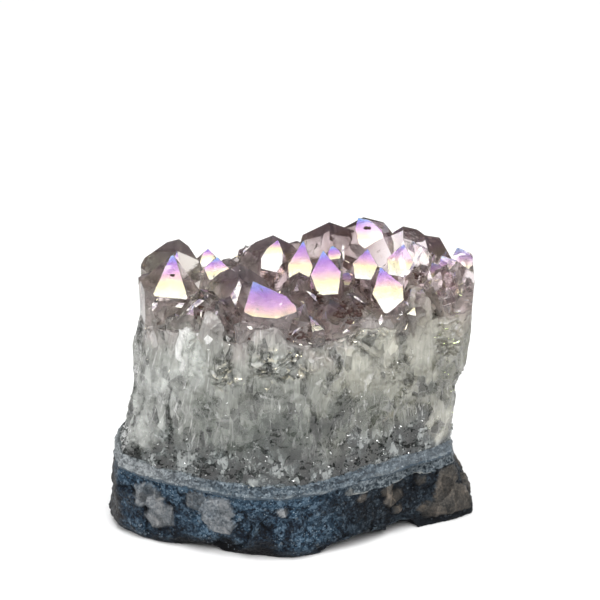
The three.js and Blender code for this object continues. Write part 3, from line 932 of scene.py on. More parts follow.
def cloudyMaterial(look):
    s = Shader("cloudyQuartz")
    veil = s.use("milkyVeil", Scale=330.0)
    streaks = s.use("growthStreaks", Scale=900.0)
    splinters = s.use("brokenFacets", Scale=320.0)
    chips = s.use("brokenFacets", Scale=820.0)
    grain = s.use("brokenFacets", Scale=2100.0)
    stain = s.use("ironStain", Scale=260.0, Amount=0.45)["Mask"]
    milk, edge, grainy = s.attribute("milk"), s.attribute("edge"), s.attribute("grainy")
    rugged = s.rest(s.times(s.attribute("calm"), 0.7))
    # the body from the foot up, then veils, dark clear parts and white parts
    body = s.ramp(s.between(s.plus(s.along(2), s.sway(9.0, 150, 3)), 13.0, 41.0), *look["bodyTone"])
    crown = s.times(s.attribute("crown"), s.ramp(milk, (0.5, 0.8), (0.8, 0.2)))
    color = s.mix(crown, body, s.mix(stain, look["crownTint"], look["crownStain"]))
    color = s.mix(s.times(veil["Mask"], 0.4), color, (0.72, 0.72, 0.69))
    color = s.mix(s.ramp(milk, (0.15, 0.8), (0.48, 0.0)), color, look["darkTint"])
    color = s.mix(s.ramp(milk, (0.55, 0.0), (0.9, 0.85)), color, look["whiteTint"])
    # the tone of each splinter, the streaks and the tint of each side
    tone = s.plus(s.times(splinters["Tone"], 0.45), s.times(chips["Tone"], 0.55))
    tone = s.ramp(tone, (0.15, 0.16), (0.5, 0.72), (0.85, 1.1))
    color = s.tinted(color, s.mix(rugged, (0.88, 0.88, 0.88), tone))
    color = s.tinted(color, s.ramp(streaks["Tone"], (0.32, 0.72), (0.5, 1.0), (0.68, 1.22)))
    right = s.between(s.plus(s.along(0), s.times(s.clouds(100, 3), 12.0)), 6.0, 16.0)
    color = s.tinted(color, s.mix(right, look["leftTint"], look["rightTint"]))
    # painted shade in the hollows
    color = s.mix(s.ramp(edge, (0.16, 0.85), (0.45, 0.0)), color, (0.05, 0.06, 0.05))
    # light lines along the breaks, painted highlights on the ridges, and feathered streaks
    line = s.larger(s.times(splinters["Line"], 0.4), s.times(chips["Line"], 0.35))
    ridgeHighlightAndWisp = s.larger(s.ramp(edge, (0.6, 0.0), (0.95, 0.4)), s.times(veil["Wisp"], 0.5))
    toLeft = s.between(s.along(0), -12.0, -18.0)
    feathers = s.plus(s.between(s.clouds(170, 2), 0.45, 0.62), toLeft, clamp=True)
    line = s.larger(s.times(s.larger(line, ridgeHighlightAndWisp), rugged), s.times(streaks["Line"], feathers))
    color = s.mix(line, color, (0.95, 0.95, 0.92))
    color = s.mix(s.times(stain, 0.45), color, (0.50, 0.40, 0.22))
    # painted highlights on the lips of the shell-like steps, white and warm
    paintedLipHighlight = s.times(s.attribute("paintedLipHighlight"), s.ramp(s.clouds(700, 3, 0.6), (0.40, 0.25), (0.55, 1.0)))
    lipHighlightColor = s.mix(s.between(s.clouds(130, 2), 0.4, 0.6), (0.97, 0.97, 0.96), (1.0, 0.93, 0.72))
    color = s.mix(paintedLipHighlight, color, lipHighlightColor)
    # granular foot with dark pockets, darker still just above the layer
    pocket = s.sway(2.6, 230, 4, 0.6)
    grit = s.plus(s.plus(s.times(grain["Tone"], 0.4), s.times(chips["Tone"], 0.6)), pocket)
    color = s.mix(s.times(grainy, 0.9), color, s.ramp(grit, *look["grainTone"]))
    foot = s.between(s.plus(s.along(2), s.times(s.clouds(300, 4, 0.65), 5.0)), 15.6, 17.4)
    ends = s.larger(s.between(s.times(s.along(0), -1.0), 18.0, 25.0),
                    s.times(s.between(s.along(0), 19.0, 25.0), 0.7))
    foot = s.rest(s.larger(foot, s.times(ends, 0.8)))
    color = s.mix(s.times(foot, 0.7), color, s.mix(tone, (0.005, 0.009, 0.011), (0.08, 0.105, 0.12)))
    rough = s.plus(s.ramp(s.clouds(500, 3, 0.6), (0.42, 0.03), (0.66, 0.18)),
                   s.ramp(milk, (0.6, 0.0), (1.0, 0.2)))
    facets = s.bump(s.times(splinters["Height"], rugged), 0.9, 0.75 * mm)
    facets = s.bump(s.times(chips["Height"], s.plus(rugged, 0.15)), 0.9, 0.32 * mm, facets)
    s.set(Base_Color=color, Roughness=rough, IOR=quartzIor, Specular_IOR_Level=0.9,
          Transmission_Weight=0.55, Normal=facets)
    s.absorb((0.62, 0.66, 0.60), 40.0)
    return s.material


def makeCloudyQuartz(look):
    rng = random.Random(look["seed"])
    bm = copyOfNode("amethyst_crystals")
    wall = BVHTree.FromBMesh(bm)
    piece = addPiece("cloudyQuartz", bm, None)
    wedges = bpy.data.collections.new("wedges")
    for x, top, length, radius, standOut in look["frontWedges"]:
        place, normal = castFrom(wall, "front", x, min(top - 1, 37))
        below, _ = castFrom(wall, "front", x, top - length)
        wedges.objects.link(wedgeObject(place, normal, below, top, length, radius, standOut, 0.1, rng))
    for side, first, last, count, *spans in look["columns"]:
        for k in range(count):
            along = first + (last - first) * (k + rng.random()) / count
            top, length, radius, standOut = (rng.uniform(*span) for span in spans)
            place, normal = castFrom(wall, side, along, top - 1)
            below, _ = castFrom(wall, side, along, top - length)
            if place and abs(normal.z) < 0.7:
                lean = look["lean"] * (2.4 if length < 5 else 0.6)
                wedge = wedgeObject(place, normal, below, top, length, radius, standOut, lean, rng)
                wedges.objects.link(wedge)
    combine(piece, wedges, "UNION")
    for wedge in wedges.objects[:]:
        dropObject(wedge)
    bpy.data.collections.remove(wedges)
    cutter = edgeCutter(0.0, 70)
    combine(piece, cutter, "DIFFERENCE")
    dropObject(cutter)
    bm = bmesh.new()
    bm.from_mesh(piece.data)
    bmesh.ops.remove_doubles(bm, verts=bm.verts, dist=0.01 * mm)
    splitLong(bm, lambda place: look["fineMesh"] if shellBreak(place, 0.0) > 0.05 else look["meshSize"])
    bm.to_mesh(piece.data)
    bm.free()
    foot = crustBox[0].z / mm

    def push(place, normal):
        below = cloudyEdge(place.x, place.y) - place.z
        if below < 0.05:
            return Vector()
        grainy = grainyShare(place)
        column, _ = cellTilt(place, 3.0, tall=4.0)
        wave = stepWave(place)
        side = 1 - smoothStep(0.5, 0.95, abs(normal.z))
        out = 0.06 + 0.14 * column + 0.12 * noise.noise(place * 0.9) + 0.05 * noise.noise(place * 2.7)
        out += look["stepDepth"] * (wave ** 2 - 0.3) * shellBreak(place) * (1 - grainy)
        out = 0.06 + (out - 0.06) * smoothStep(0.0, 1.6, below)
        drop = -0.35 if normal.z < -0.6 and place.z < foot + 3 else 0.0
        return Vector((normal.x, normal.y, 0)) * out * side + Vector((0, 0, drop))

    sculpt(piece, push)
    paintPoints(piece, "grainy", grainyShare)
    paintPoints(piece, "milk", lambda place: 0.5 + 0.5 * milkiness(place))
    paintPoints(piece, "paintedLipHighlight", ledgeLight)
    paintPoints(piece, "calm", calmShare)
    paintPoints(piece, "crown", lambda place: smoothStep(-5.5, -0.5, place.z - cloudyEdge(place.x, place.y)
                                                        + 2.0 * noise.noise(place * 0.4)))
    paintEdges(piece, 0.5)
    dress(piece, cloudyMaterial(look), smooth=True)
    piece.data.set_sharp_from_angle(angle=math.radians(14))
    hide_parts("amethyst_crystals")
    print("cloudy quartz", len(piece.data.vertices), "vertices")
    return piece


grains = {
    # copies per square mm and their sizes: in the foot of the quartz, then on the top of the layer
    "density": 1.7,
    "sizes": (0.35, 0.95),
    "bandDensity": 2.2,
    "bandSizes": (0.18, 0.5),
    # shapes: radius, length and height of the tips, in mm
    "shapes": [(0.34, 0.35, 0.45), (0.26, 0.8, 0.4), (0.42, 0.2, 0.3), (0.30, 0.6, 0.2), (0.38, 0.3, 0.6)],
    "toneColors": [(0.0, (0.003, 0.005, 0.005)), (0.5, (0.034, 0.042, 0.040)), (0.82, (0.20, 0.22, 0.21)),
                   (0.95, (0.62, 0.65, 0.63))],
    "seed": 41,
}


def grainMaterial(look):
    s = Shader("smallCrystals")
    stain = s.use("ironStain", Scale=300.0, Amount=0.5)["Mask"]
    color = s.ramp(s.plus(s.attribute("tone"), s.sway(2.2, 230, 4, 0.6)), *look["toneColors"])
    color = s.mix(s.times(stain, 0.3), color, (0.3, 0.25, 0.16))
    s.set(Base_Color=color, Roughness=0.08, IOR=quartzIor, Transmission_Weight=0.55)
    return s.material


def makeGrains(look, body, band):
    rng = random.Random(look["seed"])
    material = grainMaterial(look)
    foot = crustBox[0].z / mm

    def lowQuartz(place, normal):
        return abs(normal.z) < 0.75 and grainyShare(place) > 0.55 + 0.5 * noise.noise(place * 0.5)

    def bandTop(place, normal):
        level = place.z - bowl(place, chalcedony["bowlRadius"]) - foot
        return abs(normal.z) < 0.75 and level > -0.9 + 0.8 * noise.noise(place * 0.8)

    beds = [("smallCrystals", body, lowQuartz, look["density"], look["sizes"]),
            ("edgeCrystals", band, bandTop, look["bandDensity"], look["bandSizes"])]
    for name, bed, keep, density, sizes in beds:
        piece = bedFrom(bed, name, keep, sink=0.12)
        shapes = [crystalShape("grain", *(size * mm for size in shape), rng) for shape in look["shapes"]]
        scatter(piece, shapes, density, sizes, ((0, 0, 0), (6.28, 6.28, 6.28)), look["seed"])
        dress(piece, material, smooth=False)
        print(name, len(piece.data.polygons), "faces")


flakes = {
    # copies per square mm, smallest and largest size in mm, narrowness, lowest and highest turn in degrees
    # and how deep they sit, in mm
    "kinds": {
        "grainFlakes": (4.6, (0.15, 1.1), 0.2, ((20, -40, 0), (80, 40, 360)), 0.16),
        "bodyFlakes": (1.7, (0.15, 1.1), 0.14, ((20, -40, 0), (80, 40, 360)), 0.16),
        "shellFlakes": (0.8, (0.3, 1.5), 0.12, ((38, -18, -24), (66, 18, 24)), 0.06),
        "rimFlakes": (0.10, (0.4, 1.8), 0.12, ((25, -40, 0), (75, 40, 360)), 0.06),
    },
    "thickness": 0.03,
    "curl": 0.3,
    "silver": (0.96, 0.97, 0.97),
    "gold": (1.0, 0.93, 0.68),
    "green": (0.86, 0.95, 0.58),
    # single bright slivers on the clear rim: x, height, length and width in mm, and the turn of the long side
    "slivers": [(-14.6, 41.8, 5.6, 0.9, 36), (-8.9, 42.0, 6.0, 1.0, 74), (19.4, 43.6, 5.6, 0.8, 52),
                (4.0, 41.4, 4.0, 0.8, -38), (10.3, 41.8, 4.0, 0.6, -33), (0.6, 39.4, 2.2, 0.5, 40),
                (8.4, 43.0, 3.4, 0.5, 88), (8.6, 38.4, 1.7, 0.8, 8), (14.0, 38.6, 1.8, 0.7, 80),
                (-21.6, 40.8, 2.4, 0.9, 68), (-17.6, 40.6, 1.6, 0.9, 20), (-14.2, 40.2, 2.2, 0.4, 82),
                (-11.6, 41.4, 1.6, 0.7, 60), (-6.4, 39.8, 1.2, 0.6, -30), (18.2, 40.6, 1.6, 0.5, -50)],
    # the way the slivers face, as azimuth and elevation, how far they stand off, and their colours
    "sliverNormal": (3, 38),
    "sliverStand": 0.25,
    "sliverTone": [(0.36, (0.07, 0.06, 0.08)), (0.5, (0.20, 0.18, 0.185)), (0.64, (0.40, 0.39, 0.34))],
    "seed": 57,
}


def flakeMaterial(look):
    s = Shader("brokenFlakes")
    high = s.between(s.along(2), 28.0, 32.0)
    warm = s.times(high, s.between(s.clouds(120, 3), 0.42, 0.6))
    color = s.mix(s.between(s.along(0), 21.5, 23.5), s.mix(warm, look["silver"], look["gold"]), look["green"])
    s.set(Base_Color=color, Metallic=1.0, Roughness=0.14)
    return s.material


def sliverMaterial(look):
    s = Shader("brightSlivers")
    s.set(Base_Color=s.ramp(s.clouds(900, 3, 0.6), *look["sliverTone"]), Metallic=1.0, Roughness=0.12)
    return s.material


def makeFlakes(look, body, points):
    # breaks that throw the light straight back
    rng = random.Random(look["seed"])
    material = flakeMaterial(look)

    def gathered(place):
        # the breaks come in clusters and rows
        return waver(place.x * 0.7, place.y * 0.7, place.z * 1.3, (1, 6, 1)) > 0.12

    def onGrains(place, normal):
        return abs(normal.z) < 0.8 and grainyShare(place) > 0.3 and gathered(place)

    def onBody(place, normal):
        return abs(normal.z) < 0.8 and grainyShare(place) < 0.5 and place.z < 38 and gathered(place)

    def onLedges(place, normal):
        return ledgeLight(place) > 0.35 and cloudyEdge(place.x, place.y) - place.z > 0.3

    def onRim(place, normal):
        low = place.z < 42.5 + 1.5 * noise.noise(place * 0.4)
        return abs(normal.z) < 0.9 and low and not tooHigh(place)

    chosen = {"grainFlakes": onGrains, "bodyFlakes": onBody, "shellFlakes": onLedges, "rimFlakes": onRim}
    for number, (name, (density, sizes, narrow, turns, sink)) in enumerate(look["kinds"].items()):
        piece = bedFrom(points if name == "rimFlakes" else body, name, chosen[name], sink)
        shapes = [plateShape("plate", 1.0 * mm, look["thickness"] * mm, rng) for _ in range(4)]
        for shape in shapes:
            for vert in shape.data.vertices:
                vert.co.y = narrow * vert.co.y + look["curl"] * vert.co.x ** 2 / mm
        scatter(piece, shapes, density, sizes, inRadians(turns), look["seed"] + 10 * number)
        dress(piece, material, smooth=False)
        print(name, len(piece.data.polygons), "faces")
    makeSlivers(look, points, rng)


def makeSlivers(look, points, rng):
    tree = surfaceTree(points)
    bm = bmesh.new()
    facing = onSphere(*look["sliverNormal"], 1.0)
    upright = facing.to_track_quat("Z", "Y").to_matrix().to_4x4()
    for x, z, length, width, turn in look["slivers"]:
        place, _ = castFrom(tree, "front", x, z)
        sides = rng.choice((3, 4, 5))
        made = bmesh.ops.create_circle(bm, cap_ends=True, segments=sides, radius=1)["verts"]
        for vert in made:
            vert.co *= rng.uniform(0.7, 1.2)
        lie = upright @ Matrix.Rotation(math.radians(turn), 4, "Z")
        spot = Matrix.Translation(place + facing * look["sliverStand"] * mm)
        size = Matrix.Diagonal((length / 2 * mm, width / 2 * mm, 1, 1))
        bmesh.ops.transform(bm, verts=made, matrix=spot @ lie @ size)
    bmesh.ops.solidify(bm, geom=bm.faces[:], thickness=look["thickness"] * mm)
    addPiece("brightSlivers", bm, sliverMaterial(look))


veils = {
    "density": 0.09,
    "sizes": (0.8, 2.0),
    "depths": (1.4, 2.6),
    # slivers in the clear rim: copies per square mm, sizes and depth
    "rim": (0.14, (0.6, 1.6), 0.7),
    "turns": ((50, -30, -180), (126, 30, 180)),
    "wallMesh": 1.4,
    # larger veils under the front: x, height, half width, half height and depth, in mm
    "large": [(-16.2, 34.0, 1.3, 4.0, 0.9), (-15.6, 30.6, 1.0, 2.6, 1.4), (12.4, 37.4, 4.0, 1.2, 1.2),
              (21.4, 35.0, 1.6, 4.0, 2.2), (-7.5, 30.0, 1.0, 3.0, 2.2), (7.0, 29.0, 0.8, 3.4, 2.0),
              (14.6, 29.5, 0.9, 3.6, 2.0)],
    "largeThickness": 0.5,
    "seed": 63,
}


def veilMaterial():
    s = Shader("milkyVeils")
    veil = s.use("milkyVeil", Scale=900.0)
    s.set(Base_Color=(0.97, 0.97, 0.95, 1), Roughness=0.45, Alpha=s.plus(s.times(veil["Mask"], 0.55), 0.18))
    return s.material


def makeVeils(look, body):
    rng = random.Random(look["seed"])
    material = veilMaterial()
    bm = copyOfNode("amethyst_crystals")
    splitLong(bm, lambda place: look["wallMesh"])
    wall = plainObject("plainWall", bm)
    # name, density, sizes, depth, lowest level, how far above the cloudy edge, and narrowness
    beds = [(f"veils{number + 1}", look["density"], look["sizes"], depth, 17, -1.5, 0.75)
            for number, depth in enumerate(look["depths"])]
    beds.append(("rimVeils", *look["rim"], 37.5, 3.5, 0.25))
    for number, (name, density, sizes, depth, lowest, above, narrow) in enumerate(beds):

        def inReach(place, normal):
            return abs(normal.z) < 0.6 and lowest < place.z < cloudyEdge(place.x, place.y) + above

        piece = bedFrom(wall, name, inReach, sink=depth)
        shapes = [plateShape("veil", 1.2 * mm, 0.02 * mm, rng) for _ in range(4)]
        for shape in shapes:
            for vert in shape.data.vertices:
                vert.co.y *= narrow
        scatter(piece, shapes, density, sizes, inRadians(look["turns"]), look["seed"] + 10 * number)
        dress(piece, material, smooth=False)
    dropObject(wall)
    makeLargeVeils(look, body, material)


def makeLargeVeils(look, body, material):
    tree = surfaceTree(body)
    bm = bmesh.new()
    for x, z, halfX, halfZ, depth in look["large"]:
        place, normal = castFrom(tree, "front", x, z)
        out = Vector((normal.x, normal.y, 0)).normalized()
        spot = Matrix.Translation(place - out * depth * mm)
        turn = out.to_track_quat("-Y", "Z").to_matrix().to_4x4()
        size = Matrix.Diagonal((halfX * mm, look["largeThickness"] / 2 * mm, halfZ * mm, 1))
        slab = bmesh.ops.create_cube(bm, size=2, matrix=spot @ turn @ size)
        edges = list(dict.fromkeys(e for v in slab["verts"] for e in v.link_edges))
        bmesh.ops.subdivide_edges(bm, edges=edges, cuts=5, use_grid_fill=True)
    for vert in bm.verts:
        wave = noise.noise_vector(vert.co / mm * 0.5) * 0.9 + noise.noise_vector(vert.co / mm * 1.7) * 0.3
        vert.co += wave * mm
    large = addPiece("largeVeils", bm, material, smooth=True)
    print("veils", len(large.data.polygons), "faces in the large ones")


clearPoints = {
    "rootDepth": 0.7,
    # small broken points: side, from, to, lowest, highest, how many, their radii
    # and how deep the middle lies, in radii
    "shards": [("front", -24, 26, 37.6, 41.4, 20, (1.6, 3.2), 0.6),
               ("left", -13, 13, 37.6, 40.5, 12, (0.8, 1.8), 1.25),
               ("right", -9, 13, 37.6, 41.5, 14, (0.8, 1.8), 1.25),
               ("back", -25, 25, 37.6, 40.0, 24, (0.8, 1.8), 1.25)],
    # where no shard rises above a height: x, half width and height, in mm
    "keepClear": [(5.5, 3.2, 39.8), (15.0, 3.4, 38.4), (-3.8, 4.6, 38.4), (-18.6, 4.4, 38.2)],
    "tint": (0.96, 0.92, 0.92),
    "leftTint": (0.84, 0.85, 0.78),
    "smokeTint": (0.32, 0.245, 0.235),
    "stainTint": (0.66, 0.50, 0.40),
    "seed": 33,
}


def tooHigh(place):
    # in front of one of the large bright facets
    return place.y < frontEdge(place.x) + 6 and any(abs(place.x - x) < half and place.z > limit
                                                    for x, half, limit in clearPoints["keepClear"])


def clearMaterial(look):
    s = Shader("clearAmethyst")
    face = s.use("crystalFace", Scale=2400.0)
    chips = s.use("brokenFacets", Scale=300.0)
    stain = s.use("ironStain", Scale=190.0, Amount=0.75)["Mask"]
    left = s.between(s.times(s.along(0), -1.0), 10.0, 16.0)
    color = s.mix(left, look["tint"], look["leftTint"])
    # smoke in the middle points, behind the front row
    smoke = s.times(s.between(s.along(0), -4.0, 0.0), s.rest(s.between(s.along(0), 11.0, 16.0)))
    behind = s.larger(s.between(s.along(1), -6.0, -1.0), s.times(s.between(s.along(2), 43.0, 46.0), 0.7))
    smoke = s.times(s.times(smoke, behind), s.between(s.clouds(140, 3), 0.25, 0.5))
    color = s.mix(s.times(smoke, 0.9), color, look["smokeTint"])
    color = s.mix(s.times(stain, 0.4), color, look["stainTint"])
    # the chipped rim
    rim = s.rest(s.between(s.plus(s.along(2), s.times(s.clouds(200, 3), 4.0)), 40.4, 43.4))
    chipped = s.ramp(chips["Tone"], (0.2, (0.90, 0.82, 0.81)), (0.6, (1.0, 0.98, 0.98)))
    color = s.mix(s.times(rim, 0.3), color, chipped)
    smooth = s.bump(face["Height"], 0.16, 0.14 * mm)
    s.set(Base_Color=color, Roughness=s.ramp(s.clouds(700, 4, 0.6), (0.42, 0.015), (0.72, 0.16)),
          IOR=quartzIor, Transmission_Weight=1.0,
          Normal=s.bump(s.times(chips["Height"], rim), 0.08, 0.25 * mm, smooth))
    s.absorb((0.52, 0.16, 0.23), 26.0)
    return s.material


def shardObject(place, outward, radius, length, lean, rng):
    # one short six-sided point, cut flat at its root
    bm = bmesh.new()
    bmesh.ops.create_cone(bm, cap_ends=True, segments=6, radius1=radius * 0.9 * mm, radius2=radius * mm,
                          depth=length * mm, matrix=Matrix.Translation((0, 0, length * 0.5 * mm)))
    cap = [f for f in bm.faces if f.normal.z > 0.9]
    poked = bmesh.ops.poke(bm, faces=cap)
    for vert in poked["verts"]:
        vert.co = Vector((rng.uniform(-0.35, 0.35) * radius, rng.uniform(-0.35, 0.35) * radius,
                          length + radius * rng.uniform(0.7, 1.3))) * mm
    aside = Vector((rng.uniform(-0.5, 0.5), rng.uniform(-0.5, 0.5), 0))
    tilt = (Vector((0, 0, 1)) + outward * lean + aside).normalized()
    turn = tilt.to_track_quat("Z", "Y").to_matrix().to_4x4() @ Matrix.Rotation(rng.uniform(0, 6.28), 4, "Z")
    spot = Matrix.Translation(place - tilt * length * 0.7 * mm)
    bmesh.ops.transform(bm, verts=bm.verts, matrix=spot @ turn)
    bmesh.ops.recalc_face_normals(bm, faces=bm.faces)
    return plainObject("shard", bm)


def makeClearPoints(look):
    rng = random.Random(look["seed"])
    bm = copyOfNode("amethyst_crystals")
    wall = BVHTree.FromBMesh(bm)
    piece = addPiece("clearPoints", bm, None)
    cutter = edgeCutter(-look["rootDepth"], 5)
    combine(piece, cutter, "DIFFERENCE")
    dropObject(cutter)
    shards = bpy.data.collections.new("shards")
    for side, first, last, low, high, count, radii, sunk in look["shards"]:
        for k in range(count):
            along = first + (last - first) * (k + rng.random()) / count
            place, normal = castFrom(wall, side, along, rng.uniform(low, high))
            if place and not tooHigh(place / mm):
                out = Vector((normal.x, normal.y, 0)).normalized()
                radius = rng.uniform(*radii)
                length, lean = radius * rng.uniform(1.2, 2.4), rng.uniform(-0.3, 0.4)
                inside = place - out * radius * sunk * mm
                shards.objects.link(shardObject(inside, out, radius, length, lean, rng))
    combine(piece, shards, "UNION")
    for shard in shards.objects[:]:
        dropObject(shard)
    bpy.data.collections.remove(shards)
    dress(piece, clearMaterial(look), smooth=False)
    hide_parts("amethyst_crystals")
    print("clear points", len(piece.data.polygons), "facets")
    return piece


specks = {
    # clusters near the front: x, height, half sizes and how many
    "clusters": [(8.9, 40.6, 3.2, 1.0, 60), (12.4, 47.0, 0.4, 0.3, 3), (-3.6, 37.6, 3.0, 0.7, 16),
                 (4.0, 41.6, 0.8, 1.2, 10), (20.2, 43.1, 0.9, 0.6, 12), (-19.0, 44.6, 0.3, 0.2, 1),
                 (1.6, 38.6, 2.2, 1.0, 14), (-13.0, 40.4, 4.0, 1.0, 14)],
    "sizes": (0.14, 0.38),
    "seed": 71,
}


def makeSpecks(look, points):
    # dark iron grains set half into the faces
    rng = random.Random(look["seed"])
    tree = surfaceTree(points)
    bm = bmesh.new()
    for x, z, halfX, halfZ, count in look["clusters"]:
        for _ in range(count):
            along, height = x + rng.gauss(0, 0.5) * halfX, z + rng.gauss(0, 0.5) * halfZ
            place, _ = castFrom(tree, "front", along, height)
            if not place:
                continue
            size = rng.uniform(*look["sizes"]) * mm
            stretch = Matrix.Diagonal((rng.uniform(0.7, 2.2), 0.8, rng.uniform(0.6, 1.3), 1))
            spot = Matrix.Translation(place)
            bmesh.ops.create_icosphere(bm, subdivisions=1, radius=size, matrix=spot @ stretch)
    s = Shader("ironSpecks")
    s.set(Base_Color=s.mix(s.clouds(900, 2), (0.010, 0.004, 0.003), (0.06, 0.018, 0.010)), Roughness=0.4)
    piece = addPiece("ironSpecks", bm, s.material, smooth=True)
    print("specks", len(piece.data.polygons), "faces")


aura = {
    # which facets are coated: lowest middle in mm, smallest area in square mm, least and greatest slope
    "lowestCentre": 39.4,
    "smallestFacet": 0.35,
    "slopes": (0.3, 0.95),
    "inset": 0.05,
    "stand": 0.02,
    "thickness": 0.015,
    # gradients of single facets: x and height of the middle, start, stretch and how well the coating covers
    "tones": [(-3.1, 45.1, 0.12, 1.7, 0.85), (-3.6, 42.6, 0.04, 0.55, 1.0), (5.5, 44.5, -0.02, 0.9, 1.0),
              (15.5, 41.5, 0.02, 1.15, 1.0), (12.5, 46.4, 0.02, 0.9, 0.85), (11.8, 43.8, 0.06, 0.9, 0.9),
              (17.5, 44.3, 0.02, 0.95, 0.75), (-19.0, 44.3, 0.04, 0.9, 1.0), (21.0, 44.4, 0.0, 1.0, 0.12),
              (27.6, 45.7, -0.04, 0.7, 0.4)],
    "toneReach": 1.2,
    # a facet turned further than this from the front, in degrees, or under this area has a thin cover
    "frontTurn": 26,
    "frontArea": 2.0,
    "thinCover": 0.24,
    # colours from the top of a facet down
    "film": [(0.0, (0.10, 0.36, 0.72)), (0.09, (0.20, 0.22, 0.68)), (0.20, (0.28, 0.12, 0.50)),
             (0.36, (0.52, 0.26, 0.54)), (0.48, (0.76, 0.50, 0.50)), (0.59, (0.84, 0.74, 0.42)),
             (0.80, (0.90, 0.87, 0.62)), (0.98, (0.95, 0.96, 0.94))],
    # how much one side of the film covers, at its thinnest and thickest
    "cover": (0.11, 0.165),
    "seed": 12,
}


def auraMaterial(look):
    s = Shader("auraCoating")
    face = s.use("crystalFace", Scale=1900.0)
    # the map holds the cover across and the way down the facet upwards
    slope = s.add("ShaderNodeUVMap", {"uv_map": "slope"}).outputs[0]
    slope = s.add("ShaderNodeSeparateXYZ", Vector=slope).outputs
    color = s.ramp(s.plus(slope[1], s.sway(0.25, 240, 3)), *look["film"])
    thin, thick = look["cover"]
    cover = s.ramp(s.clouds(520, 4, 0.6), (0.30, thin), (0.5, thick))
    cover = s.times(s.times(cover, s.rest(s.times(face["Scratch"], 0.7))), slope[0])
    s.set(Base_Color=color, Metallic=1.0, Roughness=s.ramp(s.clouds(900, 3), (0.4, 0.05), (0.7, 0.16)),
          Alpha=cover, Normal=s.bump(face["Height"], 0.06, 0.08 * mm))
    return s.material


def makeAura(look, points):
    rng = random.Random(look["seed"])
    bm = bmesh.new()
    bm.from_mesh(points.data)
    bmesh.ops.remove_doubles(bm, verts=bm.verts, dist=0.01 * mm)
    bmesh.ops.dissolve_limit(bm, angle_limit=math.radians(0.8), verts=bm.verts, edges=bm.edges)
    bm.normal_update()
    least, greatest = look["slopes"]

    def coated(face):
        return (least < face.normal.z < greatest and face.calc_area() > look["smallestFacet"] * mm * mm
                and face.calc_center_median().z > look["lowestCentre"] * mm)

    bmesh.ops.delete(bm, geom=[f for f in bm.faces if not coated(f)], context="FACES")
    bmesh.ops.split_edges(bm, edges=bm.edges)
    made = bmesh.ops.inset_individual(bm, faces=bm.faces[:], thickness=look["inset"] * mm,
                                      use_even_offset=True)
    bmesh.ops.delete(bm, geom=made["faces"], context="FACES")
    slope = bm.loops.layers.uv.new("slope")
    for face in bm.faces:
        top = max(v.co.z for v in face.verts)
        depth = top - min(v.co.z for v in face.verts)
        middle = face.calc_center_median() / mm
        shift, reach = rng.uniform(-0.08, 0.12), max(depth, 2.5 * mm)
        turn = math.degrees(math.atan2(face.normal.x, -face.normal.y))
        front = abs(turn) < look["frontTurn"] and face.calc_area() > look["frontArea"] * mm * mm
        cover = 1.0 if front else look["thinCover"] * rng.uniform(0.6, 1.6)
        for x, z, start, stretch, share in look["tones"]:
            if math.hypot(middle.x - x, middle.z - z) < look["toneReach"]:
                shift, reach, cover = start, depth / stretch, share
        for loop in face.loops:
            loop[slope].uv = (cover, shift + (top - loop.vert.co.z) / reach)
    for face in bm.faces[:]:
        for vert in face.verts:
            vert.co += face.normal * look["stand"] * mm
    bmesh.ops.solidify(bm, geom=bm.faces[:], thickness=look["thickness"] * mm)
    piece = addPiece("auraCoating", bm, auraMaterial(look))
    print("aura", len(piece.data.polygons), "faces")
    return piece


studio = {
    "elevation": 25.0,
    "distance": 0.30,
    "fieldWidth": 0.100,
    "target": (1.3 * mm, 0.0, 22.5 * mm),
    "lookAbove": 14.2 * mm,
    "world": 0.26,
    # azimuth, elevation, distance, width, height, radiance; azimuth 0 is in front
    "lights": {
        "frontSoftbox": (8, 50, 0.55, 0.74, 0.38, 3.2),
        "topSoftbox": (8, 79, 0.60, 0.50, 0.20, 2.4),
        "backSoftbox": (165, 48, 0.60, 0.40, 0.30, 1.7),
        "leftStrip": (-70, 30, 0.60, 0.12, 0.40, 2.0),
        "overhead": (0, 90, 1.20, 2.00, 2.00, 1.15),
        "sparkLamp": (-38, 74, 0.50, 0.06, 0.06, 26.0),
    },
}


def onSphere(azimuth, elevation, distance):
    a, e = math.radians(azimuth), math.radians(elevation)
    return Vector((math.sin(a) * math.cos(e), -math.cos(a) * math.cos(e), math.sin(e))) * distance


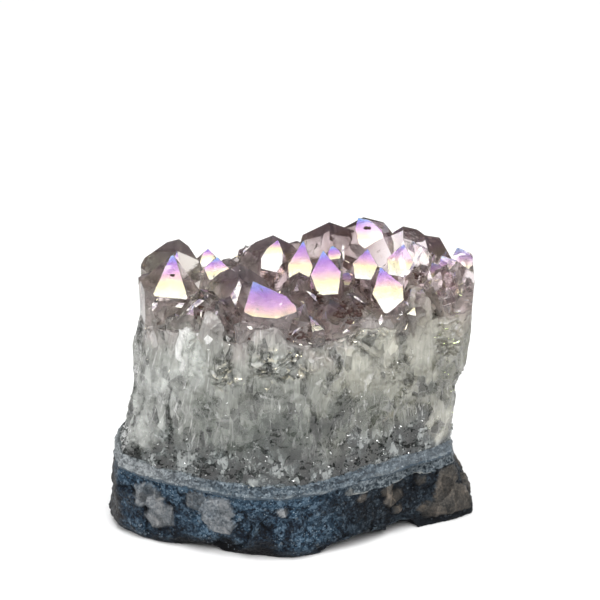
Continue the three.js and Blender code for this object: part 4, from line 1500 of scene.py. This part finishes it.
def makeStudio(look):
    target = Vector(look["target"])
    data = bpy.data.cameras.new("camera")
    camera = bpy.data.objects.new("camera", data)
    scene.collection.objects.link(camera)
    camera.location = target + onSphere(0, look["elevation"], look["distance"])
    up = onSphere(0, look["elevation"] + 90, 1.0)
    aim = target + up * look["lookAbove"]
    camera.rotation_euler = (aim - camera.location).to_track_quat("-Z", "Y").to_euler()
    data.lens = data.sensor_width * look["distance"] / look["fieldWidth"]
    data.clip_start = 0.01
    scene.camera = camera

    for name, (azimuth, elevation, distance, width, height, radiance) in look["lights"].items():
        lamp = bpy.data.lights.new(name, "AREA")
        lamp.shape = "RECTANGLE"
        lamp.size, lamp.size_y = width, height
        lamp.energy = radiance * math.pi * width * height
        holder = bpy.data.objects.new(name, lamp)
        scene.collection.objects.link(holder)
        holder.location = target + onSphere(azimuth, elevation, distance)
        holder.rotation_euler = (target - holder.location).to_track_quat("-Z", "Y").to_euler()

    world = bpy.data.worlds.new("softRoom")
    scene.world = world
    world.use_nodes = True
    world.node_tree.nodes["Background"].inputs["Color"].default_value = (1, 1, 1, 1)
    world.node_tree.nodes["Background"].inputs["Strength"].default_value = look["world"]

    bm = bmesh.new()
    bmesh.ops.create_grid(bm, x_segments=1, y_segments=1, size=1.5)
    floor = plainObject("paleFloor", bm)
    s = Shader("palePaper")
    s.set(Base_Color=(0.86, 0.86, 0.86, 1), Roughness=0.9)
    floor.data.materials.append(s.material)

    scene.view_settings.view_transform = "Standard"
    scene.cycles.use_denoising = True
    scene.cycles.max_bounces = 10
    scene.cycles.transmission_bounces = 9
    scene.cycles.glossy_bounces = 4
    scene.cycles.diffuse_bounces = 3
    scene.cycles.transparent_max_bounces = 12
    scene.cycles.caustics_reflective = True
    scene.cycles.caustics_refractive = True
    scene.cycles.sample_clamp_indirect = 8.0
    print("studio ready")


makeStudio(studio)
makeGroups()
makeBasalt(basalt)
band = makeChalcedony(chalcedony)
body = makeCloudyQuartz(cloudyQuartz)
points = makeClearPoints(clearPoints)
makeGrains(grains, body, band)
makeFlakes(flakes, body, points)
makeVeils(veils, body)
makeSpecks(specks, points)
makeAura(aura, points)
